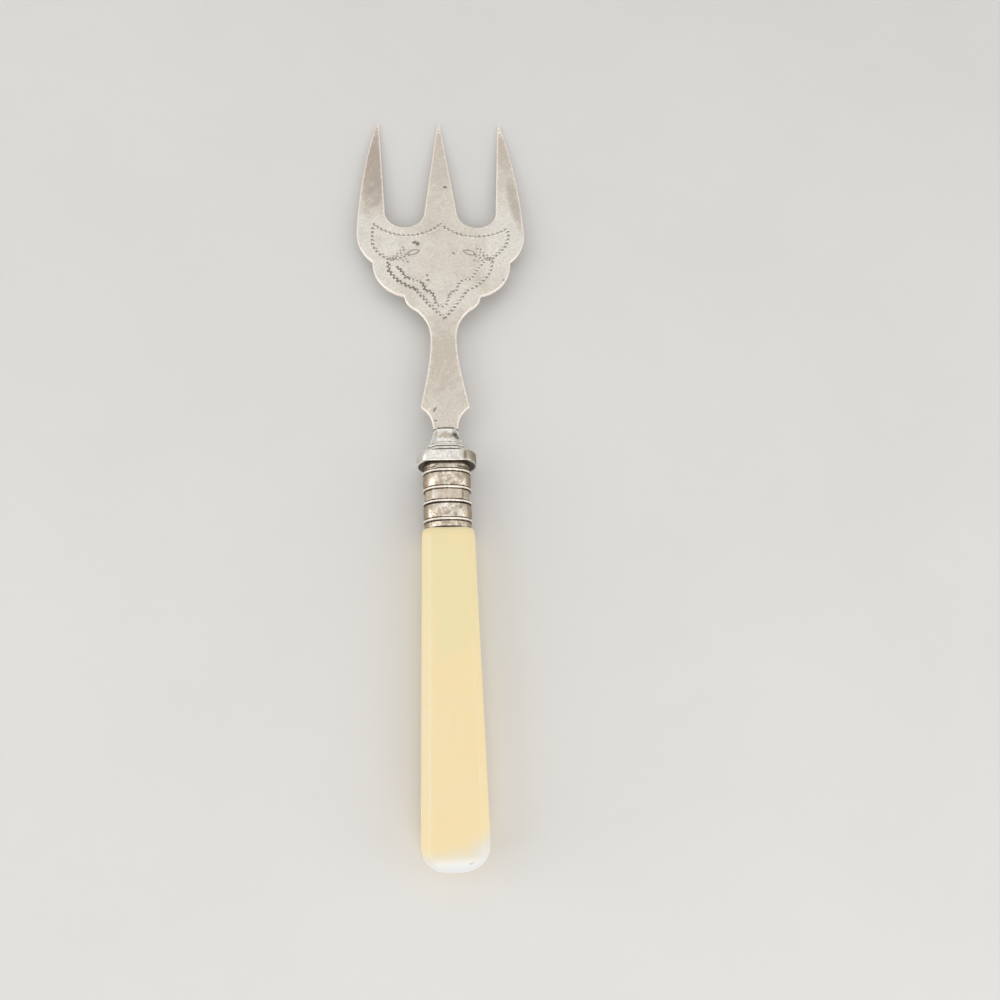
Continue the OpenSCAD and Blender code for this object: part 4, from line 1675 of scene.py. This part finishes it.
@dataclass
class Ferrule:
    """Ribbed tube with four beads between oval bands and one eight-sided band."""

    width: float = 12.2
    thickness: float = 9.4
    squareness: float = 2.2
    flat_dip: float = 0.35
    flat_slope: float = 0.225
    cut: float = 2.2
    soft: float = 0.8
    wall: float = 0.6
    bands: tuple[Band, ...] = (
        Band(1.85, 0.0), Band(3.9, 0.2), Band(2.8, 0.0, True), Band(3.8, 0.2), Band(1.8, -0.2))
    bead_w: float = 0.9
    bead_rise: float = 0.3
    groove_w: float = 0.16
    groove_depth: float = 0.14
    worn_joint: int = 2
    wide_groove: float = 1.8
    step: float = 0.07
    dent_depth: float = 0.14
    dent_scale: float = 260.0
    dent_seed: float = 3.0

    def __post_init__(self) -> None:
        """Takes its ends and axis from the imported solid."""
        self.start_y, end_y, self.axis_z = solid_span("ferrule")
        self.length = end_y - self.start_y

    def bore(self, shrink: float) -> np.ndarray:
        """Outline of the hole through the ferrule, drawn in by a clearance."""
        inset = 2 * (self.flat_dip + self.wall + shrink)
        return oval_on(self.path(), self.width - inset, self.thickness - inset, self.squareness)

    def path(self) -> np.ndarray:
        """Outline of the eight-sided band."""
        dip = 2 * self.flat_dip
        return soft_eight(self.width - dip, self.thickness - dip, self.cut, self.soft, 6, 8)

    def joints(self) -> list[float]:
        """Places of the beads' two edges.

        Returns:
            Heights above the handle, in order.
        """
        places, here = [], 0.0
        for band in self.bands[:-1]:
            here += band.length
            places.extend([here, here + self.bead_w])
            here += self.bead_w
        return places

    def rise(self, up: np.ndarray) -> np.ndarray:
        """How far the wall stands out.

        Args:
            up: Heights above the handle.

        Returns:
            The rise at each height.
        """
        lift = np.zeros_like(up)
        here = 0.0
        for k, band in enumerate(self.bands):
            share = (up - here) / band.length
            inside = (share >= 0) & (share <= 1)
            lift[inside] = band.rise * np.sin(math.pi * share[inside])
            here += band.length
            if k < len(self.bands) - 1:
                share = (up - here) / self.bead_w
                inside = (share > 0) & (share < 1)
                lift[inside] = self.bead_rise * np.sin(math.pi * share[inside])
                here += self.bead_w
        return lift - self.groove_depth * self.grooves(up)

    def oval(self, up: np.ndarray) -> np.ndarray:
        """Share of the oval shape, which is 0 along the flats.

        Args:
            up: Heights above the handle.

        Returns:
            The share at each height.
        """
        share = np.ones_like(up)
        here = 0.0
        for band in self.bands:
            if band.flats:
                depth = np.minimum(up - here, here + band.length - up)
                share = 1 - np.clip(depth / self.flat_slope, 0, 1)
            here += band.length + self.bead_w
        return share

    def grooves(self, up: np.ndarray) -> np.ndarray:
        """Share of the grooves beside the beads.

        Args:
            up: Heights above the handle.

        Returns:
            The share at each height.
        """
        shares = []
        for k, place in enumerate(self.joints()):
            width = self.groove_w * (self.wide_groove if k == self.worn_joint else 1)
            shares.append(np.exp(-((up - place) / width) ** 2))
        return np.max(shares, axis=0)

    def crests(self, up: np.ndarray) -> np.ndarray:
        """Share of the beads' crests.

        Args:
            up: Heights above the handle.

        Returns:
            The share at each height.
        """
        joints = self.joints()
        middles = [(a + b) / 2 for a, b in zip(joints[::2], joints[1::2])]
        return np.max([np.exp(-((up - place) / (self.bead_w / 4)) ** 2) for place in middles], axis=0)

    def section(self) -> bpy.types.Object:
        """Draws the wall's section as a closed line: out of the path along X, up the tube along Y.

        Returns:
            The line, with what the tube carries on its points.
        """
        up = np.arange(0.0, self.length + self.step / 2, self.step)
        up[-1] = self.length
        rise = self.rise(up)
        inside = -(self.flat_dip + self.wall)
        line = np.concatenate([np.column_stack([rise, up]), [(inside, self.length), (inside, 0.0)]])
        helper = closed_line("ferrule_section", line)
        ends = np.exp(-(up / 0.45) ** 4) + np.exp(-((self.length - up) / 0.35) ** 2)
        hollow = 0.45 * np.clip((up - self.length + self.bands[-1].length) / 0.6, 0, 1)
        grime = np.clip(self.grooves(up) + ends + hollow, 0, 1)
        outer = ((up > 0) & (up < self.length)).astype(float)
        oval = self.oval(up)
        # The bead crests are worn bright, with a painted highlight.
        for name, values, inner in (
                ("grime", grime, 0.8), ("rub", self.crests(up), 0.0), ("rise", rise * MM, inside * MM),
                ("oval", oval, 1.0), ("outer", outer, 0.0), ("even", 1 - oval, 0.0)):
            set_attribute(helper, name, np.concatenate([values, [inner, inner]]))
        return helper

    def build(self, finish: bpy.types.Material) -> bpy.types.Object:
        """Builds and dresses the ferrule.

        Args:
            finish: Its finish.

        Returns:
            The finished piece.
        """
        piece = closed_line("ribbed_ferrule", self.path())
        section = self.section()
        RibbedTubeTree().attach(piece, "ribs", {
            "Section": section, "Start": (0.0, self.start_y * MM, self.axis_z * MM),
            "Half width": self.width / 2 * MM, "Half thickness": self.thickness / 2 * MM,
            "Squareness": self.squareness, "Dent scale": self.dent_scale, "Dent depth": self.dent_depth * MM,
            "Seed": self.dent_seed, "Finish": finish})
        settle(piece)
        bpy.data.objects.remove(section)
        point_outwards(piece)
        shade(piece, 50.0)
        present(piece, "ferrule")
        return piece


# Handle


@dataclass
class Handle:
    """Cream bar with bevelled long edges, softened shoulders and a bullnosed butt."""

    LEFT_ARRIS = 2
    top_w: float = 13.3
    top_t: float = 10.5
    butt_w: float = 15.8
    butt_t: float = 10.8
    cut: float = 2.0
    soft: float = 0.5
    butt_soft: float = 1.7
    shoulder_round: float = 0.65
    shoulder_len: float = 2.4
    butt_plan: float = 6.7
    butt_side: float = 4.6
    butt_power: float = 2.3
    spigot_len: float = 12.0
    bore_d: float = 5.0
    bore_from_butt: float = 32.35
    soft_reach: float = 9.0
    # Painted highlights: along the left arris, fading in from the butt, and on the shoulder.
    arris_highlight: float = 0.45
    arris_highlight_fade: float = 8.0
    shoulder_highlight: float = 0.55

    def __post_init__(self) -> None:
        """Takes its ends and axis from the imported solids."""
        self.butt_y, spigot_y, self.axis_z = solid_span("handle")
        self.top_y = spigot_y - self.spigot_len
        self.length = self.top_y - self.butt_y

    def share(self, up: float, reach: float) -> float:
        """Share of the full size that the butt's rounding leaves.

        Args:
            up: Height above the butt.
            reach: Height that the rounding reaches.

        Returns:
            The share.
        """
        if up >= reach:
            return 1.0
        return (1 - (1 - up / reach) ** self.butt_power) ** (1 / self.butt_power)

    def outline(self, up: float, inset: float) -> np.ndarray:
        """Handle's outline.

        Args:
            up: Height above the butt.
            inset: How far it is drawn in.

        Returns:
            The points in order.
        """
        across, through = self.share(up, self.butt_plan), self.share(up, self.butt_side)
        along = up / self.length
        width = (self.butt_w + (self.top_w - self.butt_w) * along) * across - 2 * inset
        thickness = (self.butt_t + (self.top_t - self.butt_t) * along) * through - 2 * inset
        near_butt = max(1 - up / self.soft_reach, 0.0)
        soft = (self.soft + (self.butt_soft - self.soft) * near_butt) * min(across, through)
        growth = 2 - math.sqrt(2)
        return soft_eight(width, thickness, (self.cut - growth * inset) * min(across, through), soft)

    def rings(self) -> list[Ring]:
        """Cross-sections from the butt to the shoulder.

        Returns:
            The rings in order.
        """
        # Painted highlight along the left arris, fading in from the butt.
        arris = self.arris_highlight * corner_share(self.LEFT_ARRIS)
        butt = max(self.butt_plan, self.butt_side)
        ups = [butt * (1 - math.cos(math.radians(a))) for a in np.linspace(3, 90, 30)]
        ups += list(np.linspace(butt, self.length - self.shoulder_len, 40)[1:])
        rings = [Ring(self.butt_y + up, self.outline(up, 0.0), arris * min(up / self.arris_highlight_fade, 1))
                 for up in ups]
        for angle in [math.radians(a) for a in (18, 36, 54, 72, 90)]:
            up = self.length - self.shoulder_len * (1 - math.sin(angle))
            inset = self.shoulder_round * (1 - math.cos(angle))
            # Painted highlight on the softened shoulder.
            rub = self.shoulder_highlight * math.sin(angle) ** 2
            rings.append(Ring(self.butt_y + up, self.outline(up, inset), rub))
        return rings

    def build(self, ferrule: Ferrule, finish: bpy.types.Material) -> bpy.types.Object:
        """Builds and dresses the handle.

        Args:
            ferrule: The ferrule, which its spigot fills.
            finish: Its finish.

        Returns:
            The finished piece.
        """
        piece = skin("bevelled_handle", self.rings(), self.axis_z)
        piece.data.materials.append(finish)
        spigot_y = self.top_y + self.spigot_len
        span = (self.top_y - OVERLAP, spigot_y)
        carve(piece, prism("spigot", span, ferrule.bore(FIT), self.axis_z), Carving.JOIN)
        span = (self.butt_y + self.bore_from_butt, spigot_y + OVERLAP)
        carve(piece, prism("tang_bore", span, circle(self.bore_d), self.axis_z), Carving.CUT)
        shade(piece, 40.0)
        present(piece, "handle")
        return piece


# Studio


@dataclass(frozen=True)
class SoftLamp:
    """A square lamp: where it hangs, its side and its power in watts."""

    name: str
    at: tuple[float, float, float]
    size: float
    power: float


@dataclass
class Studio:
    """Pale floor, soft light from all round and the camera at the photograph's viewpoint."""

    floor_size: float = 6000.0
    camera_at: tuple[float, float, float] = (-2.26, -80.28, 192.46)
    camera_turn_deg: tuple[float, float, float] = (18.003, -4.08, -2.535)
    lens: float = 27.036
    sensor: float = 36.0
    lamps: tuple[SoftLamp, ...] = (
        SoftLamp("key_light", (-90.0, 450.0, 640.0), 1100.0, 1.65),
        SoftLamp("left_light", (-650.0, -60.0, 270.0), 700.0, 2.35),
        SoftLamp("right_light", (650.0, -120.0, 270.0), 700.0, 1.8),
        SoftLamp("front_light", (130.0, -640.0, 340.0), 600.0, 2.3))
    diffuse_sky: float = 0.4
    light_way: tuple[float, float, float] = (-0.1, 0.4, 0.9)
    dim_sky: float = 0.45
    bright_sky: float = 0.85

    def floor(self, finish: bpy.types.Material) -> None:
        """Lays the floor that the fork rests on.

        Args:
            finish: Its finish.
        """
        half = self.floor_size / 2
        corners = np.array([(-half, -half, 0), (half, -half, 0), (half, half, 0), (-half, half, 0)], float)
        floor = new_object("pale_floor", corners, [[0, 1, 2, 3]])
        floor.data.materials.append(finish)

    def hang(self, lamp: SoftLamp) -> None:
        """Hangs one lamp so that it faces the fork.

        Args:
            lamp: The lamp.
        """
        data = bpy.data.lights.new(lamp.name, "AREA")
        data.size = lamp.size * MM
        data.energy = lamp.power
        hung = bpy.data.objects.new(lamp.name, data)
        hung.location = Vector(lamp.at) * MM
        hung.rotation_euler = (-hung.location).to_track_quat("-Z", "Y").to_euler()
        bpy.context.scene.collection.objects.link(hung)

    def sky(self) -> None:
        """Lights the room: white to the camera, brighter from above in reflections, soft as a fill."""
        world = bpy.data.worlds.new("studio")
        world.use_nodes = True
        bpy.context.scene.world = world
        sheet = NodeSheet(world.node_tree)
        world.node_tree.nodes.clear()
        way = sheet.add("ShaderNodeTexCoord").outputs["Generated"]
        facing = sheet.vector("DOT_PRODUCT", way, self.light_way)
        level = sheet.ramp(facing, -0.35, 0.75, self.dim_sky, self.bright_sky)
        seen = sheet.result("ShaderNodeBackground", {"Color": (1.0, 1.0, 1.0, 1.0), "Strength": 1.0})
        mirrored = sheet.result("ShaderNodeBackground", {"Color": level, "Strength": 1.0})
        soft = sheet.result("ShaderNodeBackground", {
            "Color": (1.0, 0.985, 0.965, 1.0), "Strength": self.diffuse_sky})
        path = sheet.add("ShaderNodeLightPath").outputs
        shiny = sheet.math("ADD", path["Is Glossy Ray"], path["Is Transmission Ray"], clamp=True)
        room = sheet.result("ShaderNodeMixShader", {0: shiny, 1: soft, 2: mirrored})
        whole = sheet.result("ShaderNodeMixShader", {0: path["Is Camera Ray"], 1: room, 2: seen})
        sheet.add("ShaderNodeOutputWorld", {"Surface": whole})

    def camera(self) -> None:
        """Sets the camera at the photograph's viewpoint."""
        data = bpy.data.cameras.new("viewpoint")
        data.sensor_width = self.sensor
        data.lens = self.lens
        data.clip_start = 0.01
        camera = bpy.data.objects.new("viewpoint", data)
        camera.location = Vector(self.camera_at) * MM
        camera.rotation_euler = [math.radians(a) for a in self.camera_turn_deg]
        bpy.context.scene.collection.objects.link(camera)
        bpy.context.scene.camera = camera

    def build(self, floor_finish: bpy.types.Material) -> None:
        """Builds the camera, the light and the floor.

        Args:
            floor_finish: Finish of the floor.
        """
        bpy.context.scene.view_settings.view_transform = "Standard"
        self.camera()
        self.sky()
        for lamp in self.lamps:
            self.hang(lamp)
        self.floor(floor_finish)
        log.info("studio: camera, %d lamps, sky and floor", len(self.lamps))


# Finishes of this fork

BLADE_FINISH = SilverPlate(
    name="satin_plate", clean=(0.58, 0.54, 0.465), tarnish_and_shade=(0.39, 0.335, 0.285), dark=(0.11, 0.10, 0.085),
    wear_and_highlight=(0.95, 0.84, 0.76), roughness=0.36, dull_roughness=0.46, patch_scale=150.0, patch_strength=0.3,
    fine_strength=0.32, speck_share=0.05, speck_strength=0.4,
    smudges_and_shade=(
        Spot(-20.5, 90.0, 7.0, 26.0, 4.0, 0.95, 0.5, 300.0),
        Spot(22.5, 76.0, 2.6, 16.0, 6.0, 0.7, 0.5, 300.0),
        Spot(20.0, 95.0, 3.5, 13.0, 8.0, 0.5, 0.5, 300.0), Spot(0.0, 94.0, 5.0, 26.0, 0.0, 0.35, 0.5, 300.0),
        Spot(0.0, 21.0, 7.0, 17.0, 0.0, 0.45, 0.6, 400.0)),
    cool_tone_and_highlight_spots=(
        Spot(-19.0, 57.0, 16.0, 24.0, 15.0, 0.95, 0.5, 150.0),
        Spot(20.0, 60.0, 15.0, 24.0, -5.0, 0.95, 0.5, 150.0),
        Spot(0.0, 42.0, 20.0, 8.0, 0.0, 0.6, 0.6, 150.0)),
    stains_and_shade=(
        Spot(-7.9, 60.5, 1.1, 0.9, 20.0, 0.95, 0.8), Spot(-6.9, 60.1, 0.9, 1.0, 0.0, 0.85, 0.8),
        Spot(1.6, 81.6, 0.8, 0.7, 0.0, 0.8), Spot(-4.3, 48.9, 0.45, 0.5, 0.0, 0.8),
        Spot(-4.1, 47.2, 0.7, 0.4, 10.0, 0.8),
        Spot(3.5, 56.7, 0.8, 0.45, -35.0, 0.7), Spot(17.8, 47.3, 0.4, 0.4, 0.0, 0.8),
        Spot(-2.9, 5.8, 0.45, 1.3, -30.0, 0.7), Spot(-2.7, 2.6, 0.9, 0.25, -8.0, 0.8)))

CUT_GRIME = (
    Spot(-13.3, 49.5, 6.5, 4.0, -40.0, 1.6, 0.4, 250.0), Spot(-9.0, 45.3, 3.4, 2.0, -40.0, 1.6, 0.4, 250.0),
    Spot(-4.4, 43.1, 6.0, 2.4, -57.0, 1.6, 0.4, 250.0), Spot(-5.8, 41.8, 5.0, 2.2, -50.0, 0.6, 0.5, 250.0),
    Spot(3.0, 42.5, 3.5, 2.0, 60.0, 0.7, 0.6, 250.0), Spot(-4.0, 65.0, 14.0, 5.0, 0.0, 0.3, 0.9, 250.0))

CUT_FINISH = EngravedCut(
    name="engraved_cut", shine=0.0, bright=(0.95, 0.93, 0.88), dark=(0.36, 0.325, 0.285),
    grimy=(0.23, 0.205, 0.175), grime_spots=CUT_GRIME)

BRIGHT_CUT_FINISH = replace(
    CUT_FINISH, name="bright_cut", shine=1.0, bright=(0.98, 0.96, 0.91), dark=(0.34, 0.31, 0.27))

# The smudge spot at x 7.0 and the dark spots at x 8.0 and 4.8 are painted shade for dark reflections on the
# collar's right end and shoulder; the other spots are tarnish and real marks.
BOLSTER_FINISH = SilverPlate(
    name="cast_plate", clean=(0.74, 0.735, 0.695), tarnish_and_shade=(0.42, 0.36, 0.28), dark=(0.07, 0.06, 0.05),
    wear_and_highlight=(0.97, 0.93, 0.86), roughness=0.2, dull_roughness=0.4, patch_scale=320.0, patch_strength=0.5,
    fine_scale=1100.0, fine_strength=0.4, speck_share=0.06, speck_strength=0.5,
    smudges_and_shade=(
        Spot(0.0, -2.4, 4.2, 1.6, 0.0, 0.9, 1.0, 900.0), Spot(7.0, -9.1, 4.6, 5.0, 0.0, 1.0, 0.3, 300.0)),
    stains_and_shade=(
        Spot(2.5, -2.5, 1.1, 1.1, 0.0, 0.95, 0.8, 900.0), Spot(3.0, -3.3, 0.7, 0.7, 30.0, 0.8, 0.8, 900.0),
        Spot(8.0, -9.1, 2.4, 4.0, 0.0, 0.45, 0.3, 300.0), Spot(4.8, -9.2, 0.6, 2.4, 0.0, 0.6, 0.3, 600.0)),
    metallic=0.8)

# Side darkening is painted shade for dark reflections at the flanks; the dark spot at x 3.85 is a painted
# dark reflection line on the eight-sided band, and the light spots at x -3.3 and 4.4 are painted highlights
# there; the broad light spot at y -23.3 is a paler barrel.
FERRULE_FINISH = SilverPlate(
    name="tarnished_plate", clean=(0.78, 0.71, 0.61), tarnish_and_shade=(0.33, 0.255, 0.17), dark=(0.05, 0.034, 0.022),
    wear_and_highlight=(0.94, 0.88, 0.79), roughness=0.22, dull_roughness=0.4, patch_scale=800.0, patch_low=0.38,
    patch_high=0.66, patch_strength=0.85, fine_scale=900.0, fine_strength=0.5, speck_share=0.1,
    speck_strength=0.6, side_shade=0.9, metallic=0.85,
    stains_and_shade=(Spot(3.85, -19.4, 0.35, 1.8, 0.0, 0.5, 0.4, 900.0),), cool=(0.95, 0.92, 0.87),
    cool_tone_and_highlight_spots=(
        Spot(-3.3, -19.4, 1.5, 2.4, 0.0, 1.0, 0.5, 800.0), Spot(4.4, -19.4, 0.4, 2.2, 0.0, 1.0, 0.3, 800.0),
        Spot(-0.5, -23.3, 8.0, 2.8, 0.0, 0.55, 0.5, 800.0)))

# The pale spots paint highlights, a glare over the butt's bullnose and a lighter left side, and the worn
# colour paints the highlight along the left arris and the shoulder.
HANDLE_FINISH = CreamHandle(
    name="cream_bar", cream=(0.94, 0.76, 0.43), cloudy=(0.91, 0.78, 0.48), green=(0.84, 0.77, 0.44),
    pale=(0.77, 0.78, 0.775), wear_and_highlight=(0.94, 0.87, 0.77), scuff=(0.45, 0.43, 0.41),
    green_spots=(
        Spot(-3.0, -31.5, 2.6, 4.0, 0.0, 0.6, 0.6, 250.0),
        Spot(0.0, -44.0, 11.0, 22.0, 0.0, 0.6, 0.8, 150.0)),
    highlight_spots=(
        Spot(0.0, -109.5, 60.0, 8.2, 0.0, 1.0, 0.15, 200.0),
        Spot(11.0, -109.0, 12.5, 12.5, 0.0, 1.4, 0.15, 200.0),
        Spot(-9.0, -62.0, 3.6, 60.0, 0.0, 0.3, 0.1, 200.0)),
    scuff_spots=(Spot(3.4, -105.6, 0.9, 0.35, 20.0, 0.5, 1.0, 1500.0),))

TANG_FINISH = HiddenFinish("forged_steel", (0.42, 0.41, 0.40), (0.24, 0.18, 0.13), 1.0, 0.45, 1800.0)
CEMENT_FINISH = HiddenFinish("resin_cement", (0.42, 0.28, 0.15), (0.30, 0.19, 0.10), 0.0, 0.7, 1200.0)
FLOOR_FINISH = PaleFloor("plain_floor", (0.78, 0.77, 0.75), (0.76, 0.75, 0.73))


def dress_node(node: str, finish: bpy.types.Material) -> None:
    """Gives a solid that stays as it is its finish.

    Args:
        node: Name of the solid.
        finish: Its finish.
    """
    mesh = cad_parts[node].data
    mesh.materials.clear()
    mesh.materials.append(finish)
    log.info("%s: solid kept, finish %s", node, finish.name)


def main() -> None:
    """Builds the studio and every piece in order."""
    logging.basicConfig(level=logging.INFO, format="%(name)s: %(message)s")
    effects = SurfaceEffects()
    Studio().build(FLOOR_FINISH.material(effects))
    blade = Blade()
    blade.build(Engraving(), BladeFinishes(
        BLADE_FINISH.material(effects), CUT_FINISH.material(effects), BRIGHT_CUT_FINISH.material(effects)))
    Bolster().build(blade, BOLSTER_FINISH.material(effects))
    ferrule = Ferrule()
    ferrule.build(FERRULE_FINISH.material(effects))
    Handle().build(ferrule, HANDLE_FINISH.material(effects))
    dress_node("tang", TANG_FINISH.material(effects))
    dress_node("tang_cement", CEMENT_FINISH.material(effects))


if __name__ == "__main__":
    main()
